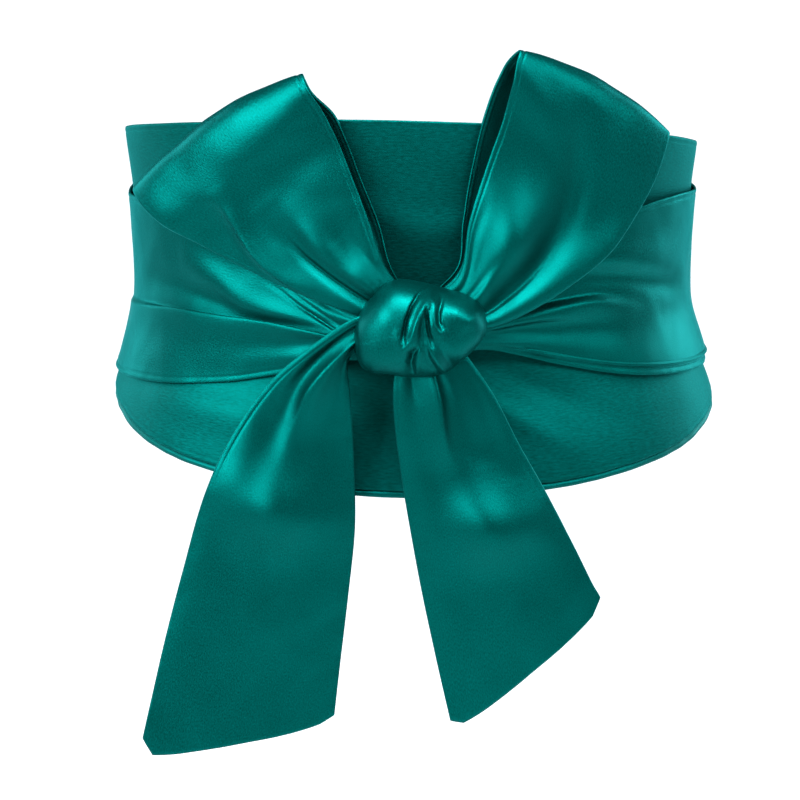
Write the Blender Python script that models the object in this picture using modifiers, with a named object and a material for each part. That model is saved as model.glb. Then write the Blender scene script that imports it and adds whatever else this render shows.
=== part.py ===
"""A satin obi sash, worn round a waist and tied in a bow at the front.

Metres, +Z up, the wearer faces -Y. The origin is the centre of the waist.
"turn" is the angle round the waist: 0 at the front centre, 90 on the +X side, 180 at the back.
"""

import math

import bmesh
import bpy
from mathutils import Vector

MM = 0.001

# Driving sizes, in millimetres. SEAM_GAP and KNOT_GAP part the pieces at seams and round the knot,
# LYING_GAP parts a ribbon from the cloth it lies on, and EASE is the slope beside a tie's edges.
# Nearer the front than NEAR_KNOT, in degrees, a ribbon rests on the ties as they are there.
TIE_WALL = 1.6
PANEL_WALL = 2.0
LINING_WALL = 1.2
LINING_SHOWS = 2.6
SEAM_GAP = 0.45
KNOT_GAP = 0.45
LYING_GAP = 0.8
EASE = 8.0
NEAR_KNOT = 20.0

# Finishes
SATIN = (0.0, 0.19, 0.15, 1.0)
LINING = (0.0, 0.22, 0.18, 1.0)
PANEL_ROUGHNESS = 0.42
LINING_ROUGHNESS = 0.5
TIE_ROUGHNESS = 0.38
KNOT_ROUGHNESS = 0.36

# The figure that the sash is worn on, as ellipses: height above the waist and half the width there
FIGURE = [
    (-90.0, 142.0),
    (-60.0, 138.0),
    (-42.0, 133.6),
    (-26.0, 127.9),
    (0.0, 122.0),
    (42.0, 123.6),
    (75.0, 127.6),
    (110.0, 131.0),
]
FIGURE_DEPTH_SHARE = 0.74

# The panel is a lens: tallest at the front, tapering to its two ends at the back.
# Columns: turn, hem, top edge
PANEL_EDGES = [
    (-138.0, -25.0, 57.8),
    (-110.0, -32.5, 67.0),
    (-86.0, -41.0, 75.6),
    (-74.0, -47.0, 79.6),
    (-62.0, -54.0, 83.0),
    (-45.0, -61.4, 87.3),
    (-20.0, -67.6, 91.8),
    (0.0, -69.9, 92.2),
    (25.0, -68.3, 88.8),
    (40.0, -65.0, 84.8),
    (60.0, -58.5, 78.4),
    (74.0, -52.0, 73.3),
    (86.0, -47.5, 69.0),
    (110.0, -37.5, 60.4),
    (138.0, -27.5, 53.0),
]
PANEL_CELLS = (50, 9)
# The lining stops a little before the panel's two ends
LINING_END_GAP = 2.0
LINING_CELLS = (50, 1)

# Each wrap is one tie, from the knot round its side and across the back to the panel's far end.
# Columns: turn, lower edge, fold line, upper edge, how far it stands off the figure, gather depth,
# rise of the fold, width of the fold's slope below its line, width above it
RIGHT_WRAP = [
    (6.0, -6.5, -2.5, 11.0, 21.0, 1.0, 0.0, 1.4, 6.0),
    (14.0, -7.5, -3.8, 15.0, 12.5, 1.2, 0.0, 1.4, 6.0),
    (20.0, -11.2, -8.0, 25.0, 8.0, 1.2, 0.3, 1.4, 8.0),
    (30.0, -17.6, -13.6, 39.0, 5.4, 0.8, 1.5, 1.2, 12.0),
    (45.0, -24.7, -20.0, 47.5, 4.6, 0.4, 1.8, 1.2, 14.0),
    (65.0, -29.4, -24.6, 50.5, 3.5, 0.1, 1.6, 1.2, 16.0),
    (90.0, -31.0, -26.5, 47.5, 2.8, 0.0, 1.2, 1.4, 18.0),
    (115.0, -30.0, -25.5, 48.0, 2.8, 0.2, 0.4, 2.0, 18.0),
    (138.0, -26.0, -21.0, 52.0, 3.0, 1.0, 0.0, 2.0, 18.0),
    (150.0, -15.0, -10.0, 55.0, 5.4, 2.0, 0.0, 2.0, 18.0),
    (162.0, -3.5, 1.5, 57.0, 6.4, 2.6, 0.0, 2.0, 18.0),
    (169.0, 3.0, 8.0, 58.0, 6.2, 2.8, 0.0, 2.0, 18.0),
    (174.0, 5.6, 10.6, 58.5, 4.9, 2.8, 0.0, 2.0, 18.0),
    (180.0, 8.3, 13.3, 59.0, 3.0, 2.8, 0.0, 2.0, 18.0),
    (186.0, 11.0, 16.0, 58.5, 1.8, 2.4, 0.0, 2.0, 18.0),
    (191.0, 9.0, 14.0, 58.0, 1.0, 2.0, 0.0, 2.0, 18.0),
    (200.0, -4.0, 1.0, 57.5, 0.2, 1.6, 0.0, 2.0, 18.0),
    (211.0, -20.0, -15.0, 57.5, 0.0, 0.6, 0.0, 2.0, 18.0),
    (221.7, -24.6, -19.6, 57.8, 0.0, 0.0, 0.0, 2.0, 18.0),
]
LEFT_WRAP = [
    (6.0, -9.0, -3.0, 8.0, 21.0, 1.2, 0.0, 5.0, 1.4),
    (14.0, -12.5, -2.0, 15.0, 13.0, 1.8, 1.2, 6.0, 1.4),
    (20.0, -17.0, -0.5, 22.0, 8.0, 1.6, 2.2, 9.0, 1.4),
    (28.0, -22.0, 1.2, 30.0, 5.2, 1.0, 2.8, 12.0, 1.4),
    (39.0, -27.0, 2.0, 38.0, 4.3, 0.5, 3.0, 14.0, 1.4),
    (60.0, -32.0, 1.6, 47.0, 3.8, 0.2, 2.2, 16.0, 1.6),
    (90.0, -34.0, -3.0, 46.5, 2.8, 0.0, 0.8, 16.0, 2.5),
    (115.0, -34.0, -4.0, 47.0, 2.8, 0.2, 0.0, 16.0, 3.0),
    (138.0, -37.0, -8.0, 42.5, 3.0, 1.0, 0.0, 16.0, 3.0),
    (150.0, -40.0, -14.0, 32.0, 5.4, 2.0, 0.0, 16.0, 3.0),
    (162.0, -42.0, -18.0, 19.5, 6.4, 2.6, 0.0, 16.0, 3.0),
    (169.0, -43.0, -21.0, 13.0, 6.2, 2.8, 0.0, 16.0, 3.0),
    (174.0, -43.0, -22.0, 10.2, 4.9, 2.8, 0.0, 16.0, 3.0),
    (180.0, -43.0, -23.0, 7.5, 3.0, 2.8, 0.0, 16.0, 3.0),
    (186.0, -42.5, -23.0, 4.8, 1.8, 2.4, 0.0, 16.0, 3.0),
    (191.0, -41.5, -22.0, 6.0, 1.0, 2.0, 0.0, 16.0, 3.0),
    (200.0, -38.0, -16.0, 18.0, 0.2, 1.6, 0.0, 16.0, 3.0),
    (211.0, -31.0, -4.0, 42.0, 0.0, 0.6, 0.0, 16.0, 3.0),
    (221.7, -27.0, 2.0, 53.0, 0.0, 0.0, 0.0, 16.0, 3.0),
]
GATHERS_PER_TIE = 3.5
# Gathers that are this much deeper than the limit would touch themselves
GATHER_ROOM = 1.5
WRAP_CELLS_ROUND = 54
WRAP_CELLS_BELOW_FOLD = {"right_wrap": 1, "left_wrap": 6}
WRAP_CELLS_ABOVE_FOLD = {"right_wrap": 10, "left_wrap": 6}
FOLD_STEP = 1.4

# Other folds that the wraps are pulled into. Each is a line round the figure.
# Columns: turn, height, rise (minus for a hollow), half width below the line, half width above it
RIGHT_FOLDS = [
    [
        (10.0, 3.0, 0.0, 2.0, 2.0),
        (20.0, 5.0, 1.6, 2.6, 3.0),
        (30.0, 8.5, 2.6, 7.0, 2.6),
        (39.0, 9.0, 2.2, 7.0, 3.0),
        (48.0, 4.0, 1.0, 8.0, 5.0),
        (60.0, -2.0, 0.0, 8.0, 8.0),
    ],
    [
        (24.0, 22.0, 0.0, 4.0, 4.0),
        (38.0, 21.0, -1.2, 5.0, 4.0),
        (47.0, 18.0, -1.6, 5.0, 4.0),
        (58.0, 13.0, -1.2, 5.0, 5.0),
        (72.0, 7.0, 0.0, 6.0, 6.0),
    ],
    [
        (24.0, 31.0, 0.0, 5.0, 6.0),
        (42.0, 28.0, 1.6, 5.0, 9.0),
        (60.0, 21.0, 1.2, 5.0, 11.0),
        (80.0, 14.0, 0.0, 6.0, 12.0),
    ],
]
LEFT_FOLDS = [
    [
        (10.0, 1.0, 0.0, 2.0, 2.0),
        (18.0, 4.5, 1.6, 2.4, 2.6),
        (24.0, 7.5, 2.8, 3.6, 4.0),
        (31.0, 12.0, 3.2, 5.0, 6.0),
        (37.0, 18.0, 2.2, 6.0, 7.0),
        (43.0, 25.0, 0.9, 8.0, 8.0),
        (54.0, 32.0, 0.0, 8.0, 8.0),
    ],
    [
        (35.0, 6.0, 0.0, 3.0, 4.0),
        (43.0, 8.5, -1.0, 4.0, 6.0),
        (56.0, 12.0, -1.0, 5.0, 8.0),
        (72.0, 15.0, 0.0, 8.0, 8.0),
    ],
]

# Bow loops and tails are ribbons between two edges, from the knot outwards.
# Columns: left edge x y z, right edge x y z, crown towards the outside, gather depth, cells to the next row
LEFT_LOOP = [
    (-8, -114, 4, -2, -113, 18, 0.0, 0.6, 2),
    (-24, -115, 10, -12, -113, 32, 2.0, 0.8, 3),
    (-48, -108, 18, -20, -111, 54, 3.0, 0.6, 3),
    (-74, -96, 28, -29, -108, 77, 4.0, 0.3, 3),
    (-98, -82, 39, -38, -104, 98, 4.0, 0.0, 3),
    (-116, -72, 51, -45, -105, 109, 6.0, 0.0, 2),
    (-121, -66, 56, -47, -101, 113, 7.4, 0.0, 2),
    (-117, -60, 53, -43.5, -98, 105.5, 4.5, 0.0, 3),
    (-97, -71, 41, -32.5, -98, 93.5, 2.0, 0.4, 3),
    (-72, -85, 31, -22, -99, 68, 1.0, 1.0, 3),
    (-46, -99, 22, -14, -102, 48, 0.0, 1.5, 3),
    (-24, -107, 12, -9, -106, 30, 0.0, 1.5, 2),
    (-8, -107, 6, -2, -107, 18, 0.0, 0.5, 0),
]
RIGHT_LOOP = [
    (8, -113, 18, 14, -114, 4, 0.0, 0.6, 2),
    (20, -113, 28, 31, -115, 4, 2.0, 0.8, 3),
    (24, -110, 50, 48, -111, 10, 3.0, 0.6, 3),
    (31, -108, 72, 67, -103, 21, 4.0, 0.3, 3),
    (39, -106, 95, 87, -93, 37, 4.0, 0.0, 3),
    (44, -107, 118, 105, -85, 63, 5.0, 0.0, 2),
    (45.6, -103, 124.0, 112, -76, 83.5, 5.8, 0.0, 2),
    (39.5, -98, 117, 107, -68, 75, 4.0, 0.0, 3),
    (31.5, -98, 98, 88, -78, 49, 2.0, 0.4, 3),
    (25, -99, 72, 68, -90, 34, 1.0, 1.0, 3),
    (21, -102, 48, 47, -99, 21, 0.0, 1.5, 3),
    (19, -105, 30, 28, -107, 11, 0.0, 1.5, 2),
    (8, -107, 18, 12, -107, 6, 0.0, 0.5, 0),
]
LEFT_TAIL = [
    (-12, -120, 12, -14, -117, -2, 0.0, 0.4, 2),
    (-26, -121, 10, -27, -117, -8, 1.5, 0.4, 2),
    (-45, -120, -3, -27, -118, -22, 2.0, 0.4, 2),
    (-62, -117, -19, -26, -117, -38, 2.5, 0.4, 3),
    (-79, -115, -44, -25, -115, -62, 3.5, 0.6, 3),
    (-90, -113, -68, -25, -113, -85, 4.5, 0.8, 3),
    (-100, -111, -103, -28, -111, -115, 5.0, 0.8, 3),
    (-110, -110, -142, -31, -109, -141, 4.0, 0.6, 3),
    (-120, -109, -187.5, -34.5, -108, -171.5, 3.0, 0.0, 0),
]
RIGHT_TAIL = [
    (-4, -117, -2, 18, -116, 0, 0.0, 0.4, 2),
    (-8, -119, -16, 25, -117, -9, 2.0, 0.4, 2),
    (-8, -119, -35, 35, -118, -24, 3.5, 0.4, 3),
    (-5, -117, -60, 46, -116, -46, 4.5, 0.5, 3),
    (-1, -115, -85, 58, -113, -68, 5.5, 0.8, 3),
    (4, -113, -113, 70, -111, -92, 5.5, 0.8, 3),
    (10, -111, -142, 79, -109, -111, 5.0, 0.6, 2),
    (17.5, -109, -175.5, 83, -108, -119.5, 4.0, 0.0, 0),
]
# Folds along the ribbons. Each is a line from the knot outwards.
# Columns: distance along, place across (0 left to 1 right), rise, half width left of it, half width right of it
LEFT_LOOP_FOLDS = [
    [
        (30.0, 0.04, 0.0, 3.0, 4.0),
        (47.0, 0.06, 1.2, 2.5, 5.0),
        (60.0, 0.11, 2.2, 2.8, 6.0),
        (71.0, 0.18, 2.8, 3.2, 7.0),
        (79.0, 0.24, 3.0, 3.6, 8.0),
        (88.0, 0.29, 2.8, 4.5, 9.0),
        (97.0, 0.30, 1.6, 6.0, 10.0),
        (106.0, 0.26, 0.0, 8.0, 10.0),
    ],
    [
        (8.0, 0.36, -0.8, 2.0, 2.0),
        (18.0, 0.35, -2.0, 3.0, 3.0),
        (32.0, 0.33, -3.0, 4.0, 4.0),
        (46.0, 0.34, -2.8, 5.0, 5.0),
        (59.0, 0.37, -1.6, 6.0, 6.0),
        (74.0, 0.42, 0.0, 8.0, 8.0),
    ],
    [
        (8.0, 0.70, 0.5, 4.0, 4.0),
        (25.0, 0.66, 2.0, 6.0, 6.0),
        (38.0, 0.60, 1.5, 8.0, 8.0),
        (56.0, 0.58, 0.0, 8.0, 8.0),
    ],
]
RIGHT_LOOP_FOLDS = [
    [
        (8.0, 0.75, -0.8, 2.0, 2.0),
        (20.0, 0.78, -2.4, 4.0, 3.0),
        (40.0, 0.78, -4.0, 8.0, 5.0),
        (55.0, 0.75, -4.2, 10.0, 6.0),
        (70.0, 0.69, -3.4, 12.0, 7.0),
        (85.0, 0.60, -2.2, 12.0, 8.0),
        (98.0, 0.50, -1.2, 12.0, 10.0),
        (112.0, 0.42, 0.0, 12.0, 12.0),
    ],
    [
        (10.0, 0.50, 0.5, 3.0, 3.0),
        (25.0, 0.50, 1.6, 5.0, 5.0),
        (45.0, 0.32, 2.2, 8.0, 8.0),
        (65.0, 0.25, 1.4, 9.0, 9.0),
        (85.0, 0.22, 0.0, 10.0, 10.0),
    ],
    [
        (10.0, 0.93, 0.4, 2.0, 2.0),
        (30.0, 0.93, 1.4, 4.0, 4.0),
        (55.0, 0.93, 1.8, 6.0, 6.0),
        (76.0, 0.92, 1.0, 7.0, 7.0),
        (95.0, 0.92, 0.0, 8.0, 8.0),
    ],
]
LEFT_TAIL_FOLDS = [
    [
        (6.0, 0.60, 0.4, 2.0, 3.0),
        (14.0, 0.60, 1.4, 2.0, 4.0),
        (28.0, 0.44, 2.4, 2.2, 5.0),
        (40.0, 0.40, 3.0, 2.8, 7.0),
        (52.0, 0.42, 2.8, 3.5, 9.0),
        (66.0, 0.43, 1.8, 5.0, 12.0),
        (90.0, 0.45, 0.0, 8.0, 14.0),
    ],
    [
        (10.0, 0.34, -0.4, 1.5, 1.5),
        (20.0, 0.31, -1.4, 2.0, 2.0),
        (32.0, 0.26, -2.4, 3.0, 2.6),
        (46.0, 0.26, -2.6, 4.0, 3.6),
        (60.0, 0.27, -2.0, 5.0, 5.0),
        (78.0, 0.30, 0.0, 6.0, 6.0),
    ],
    [
        (10.0, 0.10, 0.3, 2.0, 2.0),
        (30.0, 0.08, 1.3, 3.0, 3.0),
        (60.0, 0.10, 2.0, 5.0, 6.0),
        (80.0, 0.12, 1.6, 7.0, 8.0),
        (105.0, 0.10, 0.0, 8.0, 8.0),
    ],
]
RIGHT_TAIL_FOLDS = [
    [
        (4.0, 0.50, 0.4, 4.0, 1.6),
        (12.0, 0.50, 1.8, 6.0, 1.8),
        (24.0, 0.49, 2.8, 8.0, 2.0),
        (34.0, 0.45, 2.6, 8.0, 2.4),
        (46.0, 0.42, 1.4, 8.0, 3.0),
        (60.0, 0.42, 0.0, 8.0, 6.0),
    ],
    [
        (8.0, 0.62, -0.4, 2.0, 3.0),
        (20.0, 0.64, -1.8, 3.0, 5.0),
        (40.0, 0.62, -2.0, 5.0, 6.0),
        (60.0, 0.66, 0.0, 6.0, 6.0),
    ],
    [
        (34.0, 0.34, 0.0, 5.0, 5.0),
        (52.0, 0.38, 1.8, 6.0, 7.0),
        (67.0, 0.48, 2.6, 8.0, 7.0),
        (88.0, 0.57, 2.0, 10.0, 9.0),
        (112.0, 0.60, 0.0, 12.0, 12.0),
    ],
    [
        (10.0, 0.84, -0.4, 3.0, 3.0),
        (24.0, 0.85, -1.4, 5.0, 4.0),
        (45.0, 0.82, -1.6, 6.0, 5.0),
        (70.0, 0.82, 0.0, 7.0, 6.0),
    ],
]
RIBBON_CELLS_ACROSS = 12
RIBBON_GATHERS = 2.5
# The ribbon's direction is read between points this far before and after each place
DIRECTION_REACH = 2.0
# The cut ends of the tails bow out, and each corner is cut back
TAIL_END_BOW = 3.0
TAIL_END_REACH = 30.0
TAIL_CORNER_WIDTH = 6.0
# How far the left and right corners are cut back along the tail
TAIL_CORNERS = {"left_tail": (7.5, 1.5), "right_tail": (3.5, 3.0)}

# The knot is one cloth band wound round the bundle, from its left mouth to its right one.
# Columns: x, height of its middle, half height, half depth
KNOT_SECTIONS = [
    (-25.4, 3.0, 0.0, 0.0),
    (-24.4, 1.3, 6.6, 7.0),
    (-21.8, 0.4, 12.7, 12.5),
    (-15.8, 3.4, 17.8, 17.0),
    (-9.8, 5.6, 20.2, 19.0),
    (-3.8, 5.2, 20.9, 20.0),
    (1.8, 4.7, 20.6, 20.3),
    (7.4, 4.4, 19.6, 20.0),
    (13.0, 3.8, 18.6, 19.0),
    (20.7, 5.8, 14.9, 16.5),
    (25.4, 7.0, 11.8, 13.5),
    (28.9, 7.4, 8.3, 10.0),
    (31.3, 7.4, 3.8, 5.5),
    (32.0, 7.4, 0.0, 0.0),
]
KNOT_MIDDLE_Y = -117.0
KNOT_SQUARENESS = 2.5
KNOT_RINGS = 32
KNOT_CELLS_ROUND = 42
# Creases pressed into the front of the knot, each a line down it. Columns: x, z, half width, depth
KNOT_CREASES = [
    [
        (4.7, 23.1, 1.8, 0.6),
        (1.8, 21.3, 1.8, 1.6),
        (-1.1, 16.8, 1.9, 2.6),
        (-3.3, 11.6, 1.9, 2.8),
        (-5.0, 4.5, 1.9, 1.6),
    ],
    [
        (3.2, 17.0, 1.9, 0.6),
        (3.0, 10.9, 2.0, 2.6),
        (3.6, 4.5, 2.0, 2.2),
        (4.0, 1.0, 2.0, 0.6),
    ],
    [
        (11.4, 19.8, 1.8, 0.6),
        (9.8, 15.5, 1.8, 2.2),
        (9.6, 10.5, 1.8, 2.0),
        (10.5, 7.5, 1.8, 0.4),
    ],
    [
        (1.8, 0.2, 1.9, 0.6),
        (-0.1, -3.6, 2.0, 2.2),
        (-0.4, -8.4, 2.0, 2.6),
        (0.3, -13.5, 2.0, 2.2),
    ],
    [
        (7.5, 3.0, 1.8, 0.4),
        (9.8, -2.4, 1.8, 1.8),
        (12.0, -8.4, 1.8, 1.6),
        (12.8, -13.0, 1.8, 0.6),
    ],
]


def smooth_step(share):
    """0 to 1 with level ends."""
    share = min(1.0, max(0.0, share))
    return share * share * (3.0 - 2.0 * share)


def slope_at(places, values, index):
    """The slope of a smooth curve through the table's points, at one of them."""
    low = max(index - 1, 0)
    high = min(index + 1, len(places) - 1)
    return (values[high] - values[low]) / (places[high] - places[low])


def read_curve(places, values, at):
    """The value of a smooth curve through the points (place, value), held level past its ends."""
    if at <= places[0]:
        return values[0]
    if at >= places[-1]:
        return values[-1]
    index = max(i for i, place in enumerate(places) if place <= at)
    step = places[index + 1] - places[index]
    share = (at - places[index]) / step
    start, end = values[index], values[index + 1]
    rise = smooth_step(share)
    leave = slope_at(places, values, index) * step
    arrive = slope_at(places, values, index + 1) * step
    bend = share * (1.0 - share)
    return start + (end - start) * rise + bend * ((1.0 - share) * leave - share * arrive)


def column(table, index):
    return [row[index] for row in table]


def half_width_at(height):
    return read_curve(column(FIGURE, 0), column(FIGURE, 1), height)


def on_figure(turn, height, off):
    """A point that stands off the figure, in millimetres."""
    angle = math.radians(turn)
    half = half_width_at(height)
    x = (half + off) * math.sin(angle)
    y = -(half * FIGURE_DEPTH_SHARE + off) * math.cos(angle)
    return Vector((x, y, height))


def add_to_sash(name, mesh, colour, roughness):
    """An object with its own satin material, in the sash's collection."""
    material = bpy.data.materials.new(name + "_satin")
    material.use_nodes = True
    shader = material.node_tree.nodes["Principled BSDF"]
    shader.inputs["Base Color"].default_value = colour
    shader.inputs["Roughness"].default_value = roughness
    shader.inputs["Metallic"].default_value = 0.0
    mesh.materials.append(material)
    piece = bpy.data.objects.new(name, mesh)
    sash.objects.link(piece)
    return piece


def cloth_grid(name, cells_across, cells_along, place):
    """A mesh grid whose points are laid out by place(across, along), each from 0 to 1."""
    grid = bmesh.new()
    bmesh.ops.create_grid(grid, x_segments=cells_across, y_segments=cells_along, size=1.0)
    for vert in grid.verts:
        vert.co = place((vert.co.x + 1.0) / 2.0, (vert.co.y + 1.0) / 2.0) * MM
    mesh = bpy.data.meshes.new(name)
    grid.to_mesh(mesh)
    grid.free()
    return mesh


def thicken(piece, wall, side):
    """Gives an open cloth surface its wall, on the side its faces point to (1) or the other (-1)."""
    solid = piece.modifiers.new("Wall", "SOLIDIFY")
    solid.thickness = wall * MM
    solid.offset = side


def panel_edges(turn):
    """The heights of the panel's hem and top edge."""
    turns = column(PANEL_EDGES, 0)
    return read_curve(turns, column(PANEL_EDGES, 1), turn), read_curve(turns, column(PANEL_EDGES, 2), turn)


def make_panel():
    def place(across, along):
        turn = PANEL_EDGES[0][0] + (PANEL_EDGES[-1][0] - PANEL_EDGES[0][0]) * across
        low, high = panel_edges(turn)
        return on_figure(turn, low + (high - low) * along, 0.0)

    mesh = cloth_grid("obi_panel", *PANEL_CELLS, place)
    panel = add_to_sash("obi_panel", mesh, SATIN, PANEL_ROUGHNESS)
    thicken(panel, PANEL_WALL, 1)


def make_lining_edge():
    """The lining's edge, which shows below the panel all round its hem."""
    reach = PANEL_EDGES[-1][0] - LINING_END_GAP

    def place(across, along):
        turn = -reach + 2.0 * reach * across
        top = panel_edges(turn)[0] - SEAM_GAP
        return on_figure(turn, top - LINING_SHOWS * (1.0 - along), 0.0)

    mesh = cloth_grid("lining_edge", *LINING_CELLS, place)
    edge = add_to_sash("lining_edge", mesh, LINING, LINING_ROUGHNESS)
    thicken(edge, LINING_WALL, 1)


def gather_limit(width, waves):
    """The deepest gathers that cloth of this wall can turn through without touching itself."""
    return (width / (2.0 * math.pi * waves)) ** 2 / (GATHER_ROOM * TIE_WALL)


def folds_lift(folds, along, at, width):
    """How far the folds lift the cloth here. width turns the tables' places across into millimetres."""
    lift = 0.0
    for fold in folds:
        places = column(fold, 0)
        if not places[0] < along < places[-1]:
            continue
        away = (at - read_curve(places, column(fold, 1), along)) * width
        rise = read_curve(places, column(fold, 2), along)
        reach = read_curve(places, column(fold, 3 if away < 0.0 else 4), along)
        lift += rise * math.exp(-((away / reach) ** 2))
    return lift


def wrap_row(table, turn):
    """The wrap's table read at this turn, without the turn itself."""
    turns = column(table, 0)
    return [read_curve(turns, column(table, index), turn) for index in range(1, len(table[0]))]


def wrap_off(table, folds, turn, height):
    """How far the wrap's inner face stands off the figure here."""
    low, line, high, off, gather, rise, below, above = wrap_row(table, turn)
    gather = min(gather, 2.0 * gather_limit(high - low, GATHERS_PER_TIE))
    along = (height - low) / (high - low)
    wave = 0.5 - 0.5 * math.cos(2.0 * math.pi * GATHERS_PER_TIE * along)
    away = height - line
    fold = rise * math.exp(-((away / (below if away < 0.0 else above)) ** 2))
    return off + gather * wave + fold + folds_lift(folds, turn, height, 1.0)


def wrap_reach(table, folds, turn, height):
    """How far off the figure a wrap's outer face lies here, or 0 beside it."""
    low, _, high = wrap_row(table, turn)[0:3]
    beside = smooth_step((height - low) / EASE + 1.0) * smooth_step((high - height) / EASE + 1.0)
    inside = min(max(height, low), high)
    return beside * (wrap_off(table, folds, turn, inside) + TIE_WALL)


def clear_of_waist(point):
    """The point moved forward to where it lies on the panel and the wraps, if it was inside them."""
    half = half_width_at(point.z) + PANEL_WALL
    if abs(point.x) >= half:
        return point
    turn = math.degrees(math.asin(point.x / half))
    reach = max(
        PANEL_WALL,
        wrap_reach(RIGHT_WRAP, RIGHT_FOLDS, max(turn, NEAR_KNOT), point.z),
        wrap_reach(LEFT_WRAP, LEFT_FOLDS, max(-turn, NEAR_KNOT), point.z),
    ) + LYING_GAP
    half = half_width_at(point.z) + reach
    deep = half_width_at(point.z) * FIGURE_DEPTH_SHARE + reach
    front = -deep * math.sqrt(1.0 - (point.x / half) ** 2)
    return Vector((point.x, min(point.y, front), point.z))


def make_wrap(name, table, folds, side):
    """One tie's stretch round the waist. side is 1 for the right one and -1 for the left."""
    first, last = table[0][0], table[-1][0]
    below, above = WRAP_CELLS_BELOW_FOLD[name], WRAP_CELLS_ABOVE_FOLD[name]
    step_to = FOLD_STEP * (1.0 if name == "left_wrap" else -1.0)

    def place(across, along):
        turn = first + (last - first) * across
        low, line, high = wrap_row(table, turn)[0:3]
        under, over = min(line, line + step_to), max(line, line + step_to)
        cell = round(along * (below + 1 + above))
        if cell <= below:
            height = low + (under - low) * cell / below
        else:
            height = over + (high - over) * (cell - below - 1) / above
        return on_figure(side * turn, height, wrap_off(table, folds, turn, height))

    mesh = cloth_grid(name, WRAP_CELLS_ROUND, below + 1 + above, place)
    wrap = add_to_sash(name, mesh, SATIN, TIE_ROUGHNESS)
    thicken(wrap, TIE_WALL, side)
    cut_by_knot(wrap)


def ribbon_rows(table):
    """The ribbon's rows as points, with the distance of each along the ribbon's middle."""
    rows = []
    run = 0.0
    middle = None
    for row in table:
        left, right = Vector(row[0:3]), Vector(row[3:6])
        here = (left + right) / 2.0
        run += (here - middle).length if middle else 0.0
        middle = here
        rows.append((run, left, right, row[6], row[7], row[8]))
    return rows


def ribbon_stations(rows):
    """Distances along the ribbon, with each row's own number of cells to the next."""
    stations = []
    for row, following in zip(rows, rows[1:]):
        for cell in range(row[5]):
            stations.append(row[0] + (following[0] - row[0]) * cell / row[5])
    return stations + [rows[-1][0]]


def read_point(runs, points, at):
    return Vector([read_curve(runs, [point[axis] for point in points], at) for axis in range(3)])


def make_ribbon(name, table, folds, outside):
    """A bow loop or tail. outside is where its face turns: 1 as its rows turn, -1 the other way."""
    rows = ribbon_rows(table)
    runs = column(rows, 0)
    stations = ribbon_stations(rows)
    last = len(stations) - 1
    corners = TAIL_CORNERS.get(name)

    def edges(run):
        return read_point(runs, column(rows, 1), run), read_point(runs, column(rows, 2), run)

    def place(across, along):
        run = stations[round(along * last)]
        left, right = edges(run)
        before, after = edges(max(run - DIRECTION_REACH, 0.0)), edges(min(run + DIRECTION_REACH, runs[-1]))
        ahead = (after[0] + after[1] - before[0] - before[1]) / 2.0
        face = (right - left).cross(ahead).normalized() * outside
        crown = read_curve(runs, column(rows, 3), run)
        width = (right - left).length
        deepest = gather_limit(width, RIBBON_GATHERS)
        gather = min(read_curve(runs, column(rows, 4), run), deepest)
        lift = crown * 4.0 * across * (1.0 - across)
        lift += gather * math.sin(2.0 * math.pi * RIBBON_GATHERS * across)
        lift += folds_lift(folds, run, across, width)
        point = left.lerp(right, across) + face * lift
        if corners:
            near_end = smooth_step((run - runs[-1]) / TAIL_END_REACH + 1.0)
            further = TAIL_END_BOW * (1.0 - (2.0 * across - 1.0) ** 4)
            for corner, inward in zip(corners, (across * width, (1.0 - across) * width)):
                further -= corner * max(0.0, 1.0 - inward / TAIL_CORNER_WIDTH)
            point += ahead.normalized() * near_end * further
        return clear_of_waist(point)

    mesh = cloth_grid(name, RIBBON_CELLS_ACROSS, last, place)
    ribbon = add_to_sash(name, mesh, SATIN, TIE_ROUGHNESS)
    thicken(ribbon, TIE_WALL, -outside)
    cut_by_knot(ribbon)


def knot_mesh(name, grow, creased):
    """The knot's body, from a sphere whose poles lie at its two mouths."""
    ball = bmesh.new()
    bmesh.ops.create_uvsphere(ball, u_segments=KNOT_CELLS_ROUND, v_segments=KNOT_RINGS, radius=1.0)
    first, last = KNOT_SECTIONS[0][0], KNOT_SECTIONS[-1][0]
    for vert in ball.verts:
        share = math.acos(max(-1.0, min(1.0, -vert.co.z))) / math.pi
        x = first + (last - first) * (0.5 * share + 0.25 - 0.25 * math.cos(math.pi * share))
        middle = read_curve(column(KNOT_SECTIONS, 0), column(KNOT_SECTIONS, 1), x)
        high = read_curve(column(KNOT_SECTIONS, 0), column(KNOT_SECTIONS, 2), x)
        deep = read_curve(column(KNOT_SECTIONS, 0), column(KNOT_SECTIONS, 3), x)
        angle = math.atan2(vert.co.y, vert.co.x)
        power = 2.0 / KNOT_SQUARENESS
        up = math.copysign(abs(math.sin(angle)) ** power, math.sin(angle))
        back = math.copysign(abs(math.cos(angle)) ** power, math.cos(angle))
        point = Vector((x, back * deep, up * high))
        front = smooth_step(-back * 2.0)
        if creased:
            point.y += front * crease_depth(point.x, point.z + middle)
        vert.co = (point + Vector((0.0, KNOT_MIDDLE_Y, middle))) * MM
    ball.normal_update()
    for vert in ball.verts:
        vert.co += vert.normal * grow * MM
    mesh = bpy.data.meshes.new(name)
    ball.to_mesh(mesh)
    ball.free()
    return mesh


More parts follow.
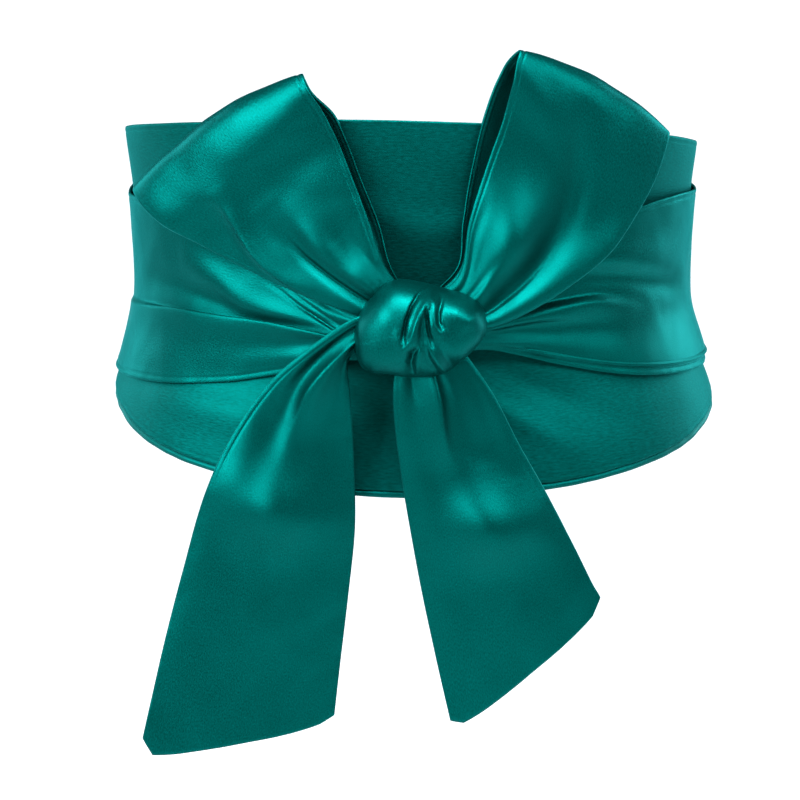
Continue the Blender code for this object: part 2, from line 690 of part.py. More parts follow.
def crease_depth(x, z):
    """How deep the knot's creases are here, where the nearest stretch of each one counts."""
    depth = 0.0
    for crease in KNOT_CREASES:
        nearest = None
        for start, end in zip(crease, crease[1:]):
            run = Vector((end[0] - start[0], end[1] - start[1]))
            here = Vector((x - start[0], z - start[1]))
            share = min(1.0, max(0.0, here.dot(run) / run.length_squared))
            away = (here - run * share).length
            width = start[2] + (end[2] - start[2]) * share
            deep = start[3] + (end[3] - start[3]) * share
            if nearest is None or away < nearest[0]:
                nearest = (away, width, deep)
        away, width, deep = nearest
        depth += deep * math.exp(-((away / width) ** 2))
    return depth


def cut_by_knot(piece):
    """Ends a stretch of cloth where it goes into the knot."""
    cut = piece.modifiers.new("Into the knot", "BOOLEAN")
    cut.operation = "DIFFERENCE"
    cut.object = knot_cutter


def make_knot_cutter():
    cutter = bpy.data.objects.new("knot_cutter", knot_mesh("knot_cutter", KNOT_GAP, False))
    cutters.objects.link(cutter)
    cutter.hide_render = True
    cutter.display_type = "WIRE"
    return cutter


def make_knot():
    add_to_sash("knot", knot_mesh("knot", 0.0, True), SATIN, KNOT_ROUGHNESS)


for old in list(bpy.data.objects):
    bpy.data.objects.remove(old)
sash = bpy.data.collections.new("satin_obi_sash")
cutters = bpy.data.collections.new("cutters")
bpy.context.scene.collection.children.link(sash)
bpy.context.scene.collection.children.link(cutters)

knot_cutter = make_knot_cutter()
make_panel()
make_lining_edge()
make_wrap("right_wrap", RIGHT_WRAP, RIGHT_FOLDS, 1)
make_wrap("left_wrap", LEFT_WRAP, LEFT_FOLDS, -1)
make_ribbon("left_loop", LEFT_LOOP, LEFT_LOOP_FOLDS, 1)
make_ribbon("right_loop", RIGHT_LOOP, RIGHT_LOOP_FOLDS, 1)
make_ribbon("left_tail", LEFT_TAIL, LEFT_TAIL_FOLDS, -1)
make_ribbon("right_tail", RIGHT_TAIL, RIGHT_TAIL_FOLDS, -1)
make_knot()
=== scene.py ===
# %% [markdown]
# # A satin obi sash, tied in a bow
# The sash is a stiffened satin panel across the front of the waist, with a long satin tie sewn to each
# end. The ties cross behind the back, come round both sides and are knotted in front into a bow with two
# loops and two hanging tails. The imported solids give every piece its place. This lesson makes each piece
# again as fine cloth on the same form, with its folds, seams and satin finish.

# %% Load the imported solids
import math

import bmesh
import bpy
import numpy as np
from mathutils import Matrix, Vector


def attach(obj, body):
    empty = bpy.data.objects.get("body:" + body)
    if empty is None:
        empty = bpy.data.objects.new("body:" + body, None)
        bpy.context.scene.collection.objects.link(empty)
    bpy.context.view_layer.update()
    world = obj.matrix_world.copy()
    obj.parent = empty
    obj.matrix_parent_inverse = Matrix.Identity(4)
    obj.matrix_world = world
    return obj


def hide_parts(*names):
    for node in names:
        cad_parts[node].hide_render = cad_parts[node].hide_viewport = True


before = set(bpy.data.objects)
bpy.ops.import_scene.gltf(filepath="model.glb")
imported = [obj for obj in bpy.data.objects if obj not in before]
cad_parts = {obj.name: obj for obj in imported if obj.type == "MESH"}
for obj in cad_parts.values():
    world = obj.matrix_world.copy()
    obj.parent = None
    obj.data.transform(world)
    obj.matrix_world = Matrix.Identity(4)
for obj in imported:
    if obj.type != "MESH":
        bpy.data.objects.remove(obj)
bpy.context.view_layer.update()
MM = 0.001
print("solids:", ", ".join(sorted(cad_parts)))

# %% [markdown]
# ## Camera
# The sash was seen from in front and a little above. A long lens from two metres away keeps its near and
# far sides at nearly the same size, as a shop's camera does. The camera is placed by two points: where it
# stands and where it looks.

# %% Camera
CAMERA_AT = Vector((-5.47, -2151.92, 406.13)) * MM
CAMERA_AIM = Vector((-5.47, 0.0, -51.28)) * MM
LENS_MM = 217.1
SENSOR_MM = 36.0
camera_data = bpy.data.cameras.new("camera")
camera_data.lens = LENS_MM
camera_data.sensor_width = SENSOR_MM
camera_data.dof.use_dof = False
camera = bpy.data.objects.new("camera", camera_data)
camera.location = CAMERA_AT
camera.rotation_euler = (CAMERA_AIM - CAMERA_AT).to_track_quat("-Z", "Y").to_euler()
bpy.context.scene.collection.objects.link(camera)
bpy.context.scene.camera = camera
bpy.context.scene.view_settings.view_transform = "Standard"
print("camera is", round((CAMERA_AIM - CAMERA_AT).length, 3), "m from what it looks at")

# %% [markdown]
# ## Floor
# The floor is plain, pale and a metre below the sash. So far down it takes no shadow that shows, and it
# throws a little soft light back up. A grid of one cell is all that a flat floor needs, and its paint is
# dull, so that it mirrors nothing.

# %% Floor
FLOOR_AT = -1.0
FLOOR_SIZE = 30.0
FLOOR_GREY = 0.78
FLOOR_ROUGHNESS = 0.9
floor_data = bmesh.new()
bmesh.ops.create_grid(floor_data, x_segments=1, y_segments=1, size=FLOOR_SIZE)
bmesh.ops.translate(floor_data, verts=floor_data.verts, vec=(0.0, 0.0, FLOOR_AT))
floor_mesh = bpy.data.meshes.new("floor")
floor_data.to_mesh(floor_mesh)
floor_data.free()
floor = bpy.data.objects.new("floor", floor_mesh)
bpy.context.scene.collection.objects.link(floor)
floor_paint = bpy.data.materials.new("pale_floor")
floor_paint.use_nodes = True
floor_shader = floor_paint.node_tree.nodes["Principled BSDF"]
floor_shader.inputs["Base Color"].default_value = (FLOOR_GREY, FLOOR_GREY, FLOOR_GREY, 1.0)
floor_shader.inputs["Roughness"].default_value = FLOOR_ROUGHNESS
floor_mesh.materials.append(floor_paint)
print("floor is", -FLOOR_AT, "m below the waist")

# %% [markdown]
# ## Studio light
# Satin shows its folds by what it mirrors, so the lights matter as much as the cloth. A broad key light
# from the left front lays a soft bright patch on every fold that turns its way. Large soft lamps above, on
# the right and behind draw out the others, and a dim white room fills the shadows. Small lamps would show
# as hard spots on the folds, so all of these are wide.

# %% Lights
# Columns: name, place, size across and up, power
LAMPS = [
    ("lamp_above", (-0.1, -0.85, 1.80), (1.2, 0.7), 150.0),
    ("lamp_upper_right", (0.79, -1.26, 1.34), (0.8, 0.8), 34.0),
    ("lamp_right", (1.57, -0.91, 0.85), (0.8, 0.8), 26.0),
    ("lamp_left_behind", (-1.67, 0.97, 0.42), (1.0, 1.2), 25.0),
    ("lamp_right_behind", (1.67, 0.97, 0.42), (1.0, 1.2), 36.0),
]
LAMP_COLOUR = (0.94, 1.0, 1.07)
KEY_POWER = 9.0
KEY_SPREAD = math.radians(36.0)
KEY_FROM = Vector((-0.75, -0.52, 0.41))
ROOM_LIGHT = 0.3
for name, place, size, power in LAMPS:
    lamp_data = bpy.data.lights.new(name, "AREA")
    lamp_data.shape = "RECTANGLE"
    lamp_data.size, lamp_data.size_y = size
    lamp_data.energy = power
    lamp_data.color = LAMP_COLOUR
    lamp = bpy.data.objects.new(name, lamp_data)
    lamp.location = place
    lamp.rotation_euler = (-Vector(place)).to_track_quat("-Z", "Y").to_euler()
    lamp.visible_camera = False
    bpy.context.scene.collection.objects.link(lamp)
sky_data = bpy.data.lights.new("key_sky", "SUN")
sky_data.energy = KEY_POWER
sky_data.angle = KEY_SPREAD
sky_data.color = LAMP_COLOUR
sky = bpy.data.objects.new("key_sky", sky_data)
sky.rotation_euler = KEY_FROM.to_track_quat("Z", "Y").to_euler()
bpy.context.scene.collection.objects.link(sky)
studio = bpy.data.worlds.new("studio")
studio.use_nodes = True
room = studio.node_tree.nodes["Background"]
room.inputs["Color"].default_value = (1.0, 1.0, 1.0, 1.0)
room.inputs["Strength"].default_value = ROOM_LIGHT
bpy.context.scene.world = studio
print("lights:", len(LAMPS), "lamps and a key light in a white room")

# %% [markdown]
# ## Satin finish
# Satin floats its threads on the surface, so it mirrors light in the cloth's own colour, in broad soft
# patches, and close to it shows a fine grain of threads. One node group makes the grain for all the
# pieces: a noise drawn out along the threads, and a wide faint mottling. It reads the cloth's own
# coordinates in metres, so that the threads follow every fold. Each material has its own values.

# %% Thread grain, shared by all the satins
MOTTLES_PER_METRE = 34.0


def add_node(tree, kind, **values):
    """A node of this kind, with its settings and the values of its sockets that have no link."""
    node = tree.nodes.new(kind)
    for key, value in values.items():
        if hasattr(node, key):
            setattr(node, key, value)
        else:
            node.inputs[key.replace("_", " ")].default_value = value
    return node


def make_thread_grain():
    tree = bpy.data.node_groups.new("thread_grain", "ShaderNodeTree")
    sockets = tree.interface
    sockets.new_socket("Cloth place", in_out="INPUT", socket_type="NodeSocketVector")
    sockets.new_socket("Deep", in_out="INPUT", socket_type="NodeSocketColor")
    sockets.new_socket("Light", in_out="INPUT", socket_type="NodeSocketColor")
    for name in ("Threads per metre", "Float per thread", "Grain", "Mottling", "Roughness", "Unevenness"):
        sockets.new_socket(name, in_out="INPUT", socket_type="NodeSocketFloat")
    sockets.new_socket("Colour", in_out="OUTPUT", socket_type="NodeSocketColor")
    sockets.new_socket("Roughness", in_out="OUTPUT", socket_type="NodeSocketFloat")
    sockets.new_socket("Height", in_out="OUTPUT", socket_type="NodeSocketFloat")
    values = tree.nodes.new("NodeGroupInput")
    results = tree.nodes.new("NodeGroupOutput")
    link = tree.links.new

    split = add_node(tree, "ShaderNodeSeparateXYZ")
    link(values.outputs["Cloth place"], split.inputs[0])
    squeeze = add_node(tree, "ShaderNodeMath", operation="DIVIDE")
    link(split.outputs["X"], squeeze.inputs[0])
    link(values.outputs["Float per thread"], squeeze.inputs[1])
    along_threads = add_node(tree, "ShaderNodeCombineXYZ")
    link(squeeze.outputs[0], along_threads.inputs["X"])
    link(split.outputs["Y"], along_threads.inputs["Y"])
    threads = add_node(tree, "ShaderNodeTexNoise", Detail=2.0, Roughness=0.6)
    link(along_threads.outputs[0], threads.inputs["Vector"])
    link(values.outputs["Threads per metre"], threads.inputs["Scale"])
    clouds = add_node(tree, "ShaderNodeTexNoise", Scale=MOTTLES_PER_METRE, Detail=3.0, Roughness=0.55)
    link(values.outputs["Cloth place"], clouds.inputs["Vector"])

    def centred(source, amount):
        """(source - 0.5) x amount"""
        less = add_node(tree, "ShaderNodeMath", operation="SUBTRACT")
        less.inputs[1].default_value = 0.5
        times = add_node(tree, "ShaderNodeMath", operation="MULTIPLY")
        link(source, less.inputs[0])
        link(less.outputs[0], times.inputs[0])
        link(amount, times.inputs[1])
        return times.outputs[0]

    both = add_node(tree, "ShaderNodeMath", operation="ADD")
    link(centred(threads.outputs["Fac"], values.outputs["Grain"]), both.inputs[0])
    link(centred(clouds.outputs["Fac"], values.outputs["Mottling"]), both.inputs[1])
    share = add_node(tree, "ShaderNodeMath", operation="ADD", use_clamp=True)
    share.inputs[1].default_value = 0.5
    link(both.outputs[0], share.inputs[0])
    # A Mix node's colours are its inputs 6 and 7, and its output 2
    colour = add_node(tree, "ShaderNodeMix", data_type="RGBA")
    link(share.outputs[0], colour.inputs["Factor"])
    link(values.outputs["Deep"], colour.inputs[6])
    link(values.outputs["Light"], colour.inputs[7])
    link(colour.outputs[2], results.inputs["Colour"])
    uneven = add_node(tree, "ShaderNodeMath", operation="ADD")
    link(values.outputs["Roughness"], uneven.inputs[0])
    link(centred(threads.outputs["Fac"], values.outputs["Unevenness"]), uneven.inputs[1])
    link(uneven.outputs[0], results.inputs["Roughness"])
    link(threads.outputs["Fac"], results.inputs["Height"])
    return tree


thread_grain = make_thread_grain()
print("node group:", thread_grain.name, "with", len(thread_grain.nodes), "nodes")

# %% [markdown]
# ## The three satins
# The panel, the ties and the lining are dyed alike. The ties are soft and shine most, the panel is duller
# and coarser over its stiff layer, and the lining is plain. Each could have its own tangle of nodes, but
# one function fills the shared group from a row of values. Metallic is high, because satin threads mirror
# light in the cloth's own colour, as metal does.

# %% The three satins
CLOTH_MAP = "cloth"
DEEP_TEAL = (0.0, 0.024, 0.0180, 1.0)
BRIGHT_TEAL = (0.0, 0.062, 0.055, 1.0)
EDGE_TINT = (0.02, 1.0, 1.0, 1.0)
EDGE_SHINE = 0.25
RELIEF_DEPTH = 0.0001
# Columns: name, threads per metre, float per thread, grain, mottling, roughness, its unevenness,
# relief, metallic
SATINS = [
    ("panel_satin", 1300.0, 4.0, 1.4, 0.5, 0.54, 0.18, 1.0, 0.9),
    ("tie_satin", 1800.0, 1.5, 1.8, 0.35, 0.41, 0.16, 1.0, 0.92),
    ("lining_satin", 2200.0, 4.0, 0.8, 0.4, 0.48, 0.08, 0.25, 0.7),
]


def make_satin(name, threads, floats, grain, mottling, roughness, roughness_change, relief, metallic):
    satin = bpy.data.materials.new(name)
    satin.use_nodes = True
    tree = satin.node_tree
    shader = tree.nodes["Principled BSDF"]
    shader.inputs["Metallic"].default_value = metallic
    shader.inputs["Specular IOR Level"].default_value = EDGE_SHINE
    shader.inputs["Specular Tint"].default_value = EDGE_TINT
    place = add_node(tree, "ShaderNodeUVMap", uv_map=CLOTH_MAP)
    weave = add_node(tree, "ShaderNodeGroup", node_tree=thread_grain)
    for socket, value in (
        ("Deep", DEEP_TEAL),
        ("Light", BRIGHT_TEAL),
        ("Threads per metre", threads),
        ("Float per thread", floats),
        ("Grain", grain),
        ("Mottling", mottling),
        ("Roughness", roughness),
        ("Unevenness", roughness_change),
    ):
        weave.inputs[socket].default_value = value
    bump = add_node(tree, "ShaderNodeBump", Strength=relief, Distance=RELIEF_DEPTH)
    tree.links.new(place.outputs["UV"], weave.inputs["Cloth place"])
    tree.links.new(weave.outputs["Colour"], shader.inputs["Base Color"])
    tree.links.new(weave.outputs["Roughness"], shader.inputs["Roughness"])
    tree.links.new(weave.outputs["Height"], bump.inputs["Height"])
    tree.links.new(bump.outputs["Normal"], shader.inputs["Normal"])
    return satin


panel_satin, tie_satin, lining_satin = (make_satin(*row) for row in SATINS)
print("satins:", panel_satin.name, tie_satin.name, lining_satin.name)

# %% [markdown]
# ## Curves from tables
# The form of the cloth is a few tables of sizes: where an edge or a fold runs, how high it stands and how
# wide it is. A smooth curve through each column gives the size at any place between the rows. All the
# helpers work on whole arrays of places at once, which keeps the fine grids quick.

# %% Helpers for curves
def smooth_step(share):
    """0 to 1 with level ends."""
    share = np.clip(share, 0.0, 1.0)
    return share * share * (3.0 - 2.0 * share)


def soft_rise(at, none, full):
    """0 at the place called none, 1 at the place called full, with a soft change between the two."""
    return smooth_step((at - none) / (full - none))


def column(table, index):
    return [row[index] for row in table]


def read_curve(places, values, at):
    """The values of a smooth curve through the points (place, value), held level past its ends."""
    places, values = np.asarray(places, float), np.asarray(values, float)
    slopes = np.empty_like(values)
    slopes[1:-1] = (values[2:] - values[:-2]) / (places[2:] - places[:-2])
    slopes[0] = (values[1] - values[0]) / (places[1] - places[0])
    slopes[-1] = (values[-1] - values[-2]) / (places[-1] - places[-2])
    at = np.clip(at, places[0], places[-1])
    index = np.clip(np.searchsorted(places, at, side="right") - 1, 0, len(places) - 2)
    step = places[index + 1] - places[index]
    share = (at - places[index]) / step
    start, end = values[index], values[index + 1]
    bend = share * (1.0 - share)
    leave, arrive = slopes[index] * step, slopes[index + 1] * step
    return start + (end - start) * smooth_step(share) + bend * ((1.0 - share) * leave - share * arrive)


def ridge(away, half_width):
    """1 on a fold's line, falling softly to 0 beside it."""
    return np.exp(-((away / half_width) ** 2))


def folds_lift(folds, along, at, width):
    """How far the folds lift the cloth here. width turns the tables' places across into millimetres."""
    lift = np.zeros(np.broadcast(along, at).shape)
    for fold in folds:
        places = column(fold, 0)
        away = (at - read_curve(places, column(fold, 1), along)) * width
        rise = read_curve(places, column(fold, 2), along)
        below, above = (read_curve(places, column(fold, index), along) for index in (3, 4))
        inside = (along > places[0]) & (along < places[-1])
        lift += inside * rise * ridge(away, np.where(away < 0.0, below, above))
    return lift


halfway_up = float(read_curve([0, 1, 2], [0, 1, 0], 0.5))
print("a curve through 0, 1, 0 read halfway along its first step:", halfway_up)

# %% [markdown]
# ## The figure
# The sash has no body inside it, but the cloth lies on one. The figure is a stack of ellipses with the
# waist in the middle, and a place on the cloth is given by its turn round the figure, its height and how
# far it stands off. 0 is the front, 90 the right side and 180 the back.

# %% The figure the cloth lies on
# Columns: height above the waist, half width
FIGURE = [
    (-90.0, 142.0),
    (-60.0, 138.0),
    (-42.0, 133.6),
    (-26.0, 127.9),
    (0.0, 122.0),
    (42.0, 123.6),
    (75.0, 127.6),
    (110.0, 131.0),
]
FIGURE_DEPTH_SHARE = 0.74


def half_width_at(height):
    return read_curve(column(FIGURE, 0), column(FIGURE, 1), height)


def on_figure(turn, height, off):
    """Points that stand off the figure, in millimetres."""
    angle = np.radians(turn)
    half = half_width_at(height)
    x = (half + off) * np.sin(angle)
    y = -(half * FIGURE_DEPTH_SHARE + off) * np.cos(angle)
    return np.stack(np.broadcast_arrays(x, y, height), axis=-1)


waist_across = 2.0 * float(half_width_at(0.0))
print("waist is", waist_across, "mm across and", waist_across * FIGURE_DEPTH_SHARE, "mm deep")

# %% [markdown]
# ## Cloth from a grid
# Each piece starts as a flat grid, the way cloth is cut flat. A function lays every point of the grid in
# its place, and the wall is given by Solidify on the hidden side. The flat place of each point is kept as
# the piece's UV map, in metres. Rows can crowd towards the edges, where seams need fine cells.

# %% Helpers for cloth pieces
SEAM_CROWDING = 0.6
LAP_CROWDING = 0.5


def crowd_edges(share, crowding):
    """0 to 1 with the steps closer together at both ends."""
    return share - crowding / (2.0 * math.pi) * np.sin(2.0 * math.pi * share)


def make_cloth(name, cells, place, flat_place, wall, wall_side, satin):
    """A cloth piece. place and flat_place turn arrays of (across, along) from 0 to 1 into millimetres."""
    grid = bmesh.new()
    bmesh.ops.create_grid(grid, x_segments=cells[0], y_segments=cells[1], size=1.0)
    # The grid runs from -1 to 1
    shares = np.array([vert.co[:2] for vert in grid.verts]) / 2.0 + 0.5
    points = place(shares[:, 0], shares[:, 1]) * MM
    for vert, point in zip(grid.verts, points):
        vert.co = point
    flat = flat_place(shares[:, 0], shares[:, 1]) * MM
    layer = grid.loops.layers.uv.new(CLOTH_MAP)
    grid.verts.index_update()
    for face in grid.faces:
        face.smooth = True
        for corner in face.loops:
            corner[layer].uv = flat[corner.vert.index]
    mesh = bpy.data.meshes.new(name)
    grid.to_mesh(mesh)
    grid.free()
    mesh.materials.append(satin)
    piece = bpy.data.objects.new(name, mesh)
    bpy.context.scene.collection.objects.link(piece)
    solid = piece.modifiers.new("Wall", "SOLIDIFY")
    solid.thickness = wall * MM
    solid.offset = wall_side
    area = sum(face.area for face in mesh.polygons)
    print(name, "has", 4 * len(mesh.polygons), "triangles and", round(area * 10000), "square cm of cloth")
    return piece


def finish_piece(piece, node):
    """The piece rides on the sash and stands for its solid."""
    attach(piece, "root")
    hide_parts(node)


first_row = float(crowd_edges(0.1, SEAM_CROWDING))
print("the first of ten rows lies", round(first_row, 3), "of the way across, where even rows have 0.1")

# %% [markdown]
# ## Seams and small unevenness
# The panel and the ties are sewn inside out and turned, so their edges are rolled, with a shallow line
# where the seam allowance ends and small puckers from the stitches. Cloth is never quite flat between
# them either. These could be a bump in the material, but that vanishes at the outline, so they are small
# waves in the shape itself.

# %% Seams and small unevenness
EDGE_ROLL = 0.3
EDGE_ROLL_WIDTH = 0.4
SEAM_IN = 2.4
SEAM_HALF_WIDTH = 0.5
PUCKER_REACH = 4.0
# Lengths of the soft dents across and along the cloth
DENT_ACROSS = 9.0
DENT_ALONG = 11.0


def sewn_edge(away, run, seam_depth=0.2):
    """How far an edge that was sewn inside out sinks and puckers, away from it and along it, in mm."""
    rolled = -EDGE_ROLL * ridge(away, EDGE_ROLL_WIDTH)
    seam = -seam_depth * ridge(away - SEAM_IN, SEAM_HALF_WIDTH)
    stitches = 0.04 * np.sin(run / 1.35 + 1.4 * np.sin(run / 9.0))
    pulls = 0.06 * np.sin(run / 3.1 + 2.0)
    return rolled + seam + (stitches + pulls) * ridge(away, PUCKER_REACH)


def unevenness(across, along, seed):
    """Soft dents and swells, from -1 to 1. Waves bend other waves, so that no pattern repeats."""
    a, b = across / DENT_ACROSS + seed, along / DENT_ALONG - seed
    wide = np.sin(a + 1.3 * np.sin(b)) * np.sin(b * 0.8 + 1.1 * np.sin(a * 0.7))
    small = np.sin(a * 2.3 + seed + np.sin(b * 1.7)) * np.sin(b * 2.1 + 0.8 * np.sin(a * 1.9))
    return 0.7 * wide + 0.3 * small


print("seam is", SEAM_IN, "mm inside each sewn edge")

# %% [markdown]
# ## The panel
# The front of an obi sash is a lens-shaped panel, tallest in the middle, of satin over a stiff layer. It
# could be cut from a block, but a grid wrapped round the figure gives it the worn shape at once. Being
# stiff it has no folds, only slow swells where it is pulled towards the knot, and a matt coarser grain.

# %% Panel
# Columns: turn, hem, top edge
PANEL_EDGES = [
    (-138.0, -25.0, 57.8),
    (-110.0, -32.5, 67.0),
    (-86.0, -41.0, 75.6),
    (-74.0, -47.0, 79.6),
    (-62.0, -54.0, 83.0),
    (-45.0, -61.4, 87.3),
    (-20.0, -67.6, 91.8),
    (0.0, -69.9, 92.2),
    (25.0, -68.3, 88.8),
    (40.0, -65.0, 84.8),
    (60.0, -58.5, 78.4),
    (74.0, -52.0, 73.3),
    (86.0, -47.5, 69.0),
    (110.0, -37.5, 60.4),
    (138.0, -27.5, 53.0),
]
# Soft pulls from the knot. Columns: turn, height, rise, half width below the line, half width above it
PANEL_PULLS = [
    [
        (6.0, -14.0, 0.0, 3.0, 3.0),
        (14.0, -30.0, 0.9, 5.0, 5.0),
        (26.0, -48.0, 1.0, 7.0, 7.0),
        (38.0, -58.0, 0.0, 8.0, 8.0),
    ],
    [
        (10.0, -12.0, 0.0, 3.0, 3.0),
        (22.0, -24.0, -0.7, 5.0, 5.0),
        (38.0, -40.0, -0.6, 7.0, 7.0),
        (52.0, -50.0, 0.0, 8.0, 8.0),
    ],
    [
        (-16.0, 62.0, 0.0, 6.0, 6.0),
        (-6.0, 50.0, 1.2, 8.0, 7.0),
        (6.0, 44.0, 1.4, 8.0, 7.0),
        (18.0, 52.0, 0.0, 6.0, 6.0),
    ],
    [
        (-64.0, -34.0, 0.0, 9.0, 6.0),
        (-50.0, -36.0, 1.6, 11.0, 6.0),
        (-34.0, -40.0, 1.6, 11.0, 6.0),
        (-20.0, -46.0, 0.0, 9.0, 6.0),
    ],
]
PANEL_WALL = 2.0
PANEL_CLOTH_WALL = 1.5
PANEL_SEAM = 0.12
PANEL_DENTS = 0.35
PANEL_TURNS = (PANEL_EDGES[0][0], PANEL_EDGES[-1][0])
PANEL_ROUND = 585.0
PANEL_CELLS = (300, 90)


def panel_turn(across):
    return PANEL_TURNS[0] + (PANEL_TURNS[1] - PANEL_TURNS[0]) * across


def panel_edges(turn):
    turns = column(PANEL_EDGES, 0)
    return read_curve(turns, column(PANEL_EDGES, 1), turn), read_curve(turns, column(PANEL_EDGES, 2), turn)


def panel_height(turn, along):
    low, high = panel_edges(turn)
    return low + (high - low) * crowd_edges(along, SEAM_CROWDING)


def place_panel(across, along):
    turn = panel_turn(across)
    low, high = panel_edges(turn)
    height = panel_height(turn, along)
    run = across * PANEL_ROUND
    edge = sewn_edge(height - low, run, PANEL_SEAM) + sewn_edge(high - height, run + 40.0, PANEL_SEAM)
    # The stiff layer makes the dents longer than a tie's, and they only sink
    dent = PANEL_DENTS * (unevenness(run / 2.2, height / 1.6, seed=1.0) - 1.0)
    pulls = folds_lift(PANEL_PULLS, turn, height, 1.0)
    return on_figure(turn, height, PANEL_WALL + edge + dent + pulls)


def flat_panel(across, along):
    return np.stack((across * PANEL_ROUND, panel_height(panel_turn(across), along)), axis=-1)


panel = make_cloth(
    "panel_cloth", PANEL_CELLS, place_panel, flat_panel, PANEL_CLOTH_WALL, -1.0, panel_satin
)
finish_piece(panel, "obi_panel")

# %% [markdown]
# ## The lining's lip
# The lining is cut a little longer than the panel's hem, so a narrow lip of it shows below, all the way
# round. It is its own piece of cloth, a strip only a few millimetres high, with a soft rolled edge.

# %% Lining lip
LINING_WALL = 1.2
LINING_CLOTH_WALL = 0.8
LINING_SHOWS = 2.6
LINING_TUCK = 2.4
LINING_GAP = 0.45
LINING_ROLL = 0.45
LINING_ROLL_WIDTH = 0.6
LINING_TUCKED_IN = 0.9
LINING_PUCKER = 0.12
LINING_REACH = PANEL_TURNS[1] - 2.0
LINING_CELLS = (300, 12)


def place_lining(across, along):
    turn = -LINING_REACH + 2.0 * LINING_REACH * across
    hem = panel_edges(turn)[0]
    up = (LINING_SHOWS + LINING_TUCK) * crowd_edges(along, LAP_CROWDING)
    rolled = -LINING_ROLL * ridge(up, LINING_ROLL_WIDTH)
    tucked = -LINING_TUCKED_IN * soft_rise(up, LINING_SHOWS - 0.8, LINING_SHOWS + 0.4)
    pucker = LINING_PUCKER * (np.sin(across * 230.0 + 1.5 * np.sin(across * 61.0)) - 1.0)
    height = hem - LINING_SHOWS - LINING_GAP + up
    return on_figure(turn, height, LINING_WALL + rolled + tucked + pucker)


def flat_lining(across, along):
    return np.stack((across * PANEL_ROUND, along * (LINING_SHOWS + LINING_TUCK)), axis=-1)


lining = make_cloth(
    "lining_lip", LINING_CELLS, place_lining, flat_lining, LINING_CLOTH_WALL, -1.0, lining_satin
)
finish_piece(lining, "lining_edge")

# %% [markdown]
# ## The ties round the waist
# Each tie leaves the knot gathered, opens over the side into a broad band and crosses the other tie at the
# back, where both are bunched. One long fold runs round each side: the cloth laps over itself there, so
# the fold is a real overlap and not only a bump. Its cross-section is an S, drawn in a few cells of the
# grid, and both bands beside it follow the tables.

# %% Tables of the ties round the waist
# Columns: turn, lower edge, fold line, upper edge, how far it stands off the figure, gather depth,
# rise of the fold, width of the fold's slope below its line, width above it
RIGHT_WRAP = [
    (6.0, -6.5, -2.5, 11.0, 21.0, 1.0, 0.0, 1.4, 6.0),
    (14.0, -7.5, -3.8, 15.0, 12.5, 1.2, 0.0, 1.4, 6.0),
    (20.0, -11.2, -8.0, 25.0, 8.0, 1.2, 0.3, 1.4, 8.0),
    (30.0, -17.6, -13.6, 39.0, 5.4, 0.8, 1.5, 1.2, 12.0),
    (45.0, -24.7, -20.0, 47.5, 4.6, 0.4, 1.8, 1.2, 14.0),
    (65.0, -29.4, -24.6, 50.5, 3.5, 0.1, 1.6, 1.2, 16.0),
    (90.0, -31.0, -26.5, 47.5, 2.8, 0.0, 1.2, 1.4, 18.0),
    (115.0, -30.0, -25.5, 48.0, 2.8, 0.2, 0.4, 2.0, 18.0),
    (138.0, -26.0, -21.0, 52.0, 3.0, 1.0, 0.0, 2.0, 18.0),
    (150.0, -15.0, -10.0, 55.0, 5.4, 2.0, 0.0, 2.0, 18.0),
    (162.0, -3.5, 1.5, 57.0, 6.4, 2.6, 0.0, 2.0, 18.0),
    (169.0, 3.0, 8.0, 58.0, 6.2, 2.8, 0.0, 2.0, 18.0),
    (174.0, 4.2, 10.6, 58.5, 4.9, 2.8, 0.0, 2.0, 18.0),
    (180.0, 6.9, 13.3, 59.0, 3.0, 2.8, 0.0, 2.0, 18.0),
    (186.0, 9.6, 16.0, 58.5, 1.8, 2.4, 0.0, 2.0, 18.0),
    (191.0, 9.0, 14.0, 58.0, 1.0, 2.0, 0.0, 2.0, 18.0),
    (200.0, -4.0, 1.0, 57.5, 0.2, 1.6, 0.0, 2.0, 18.0),
    (211.0, -20.0, -15.0, 57.5, 0.0, 0.6, 0.0, 2.0, 18.0),
    (221.7, -24.6, -19.6, 57.8, 0.0, 0.0, 0.0, 2.0, 18.0),
]
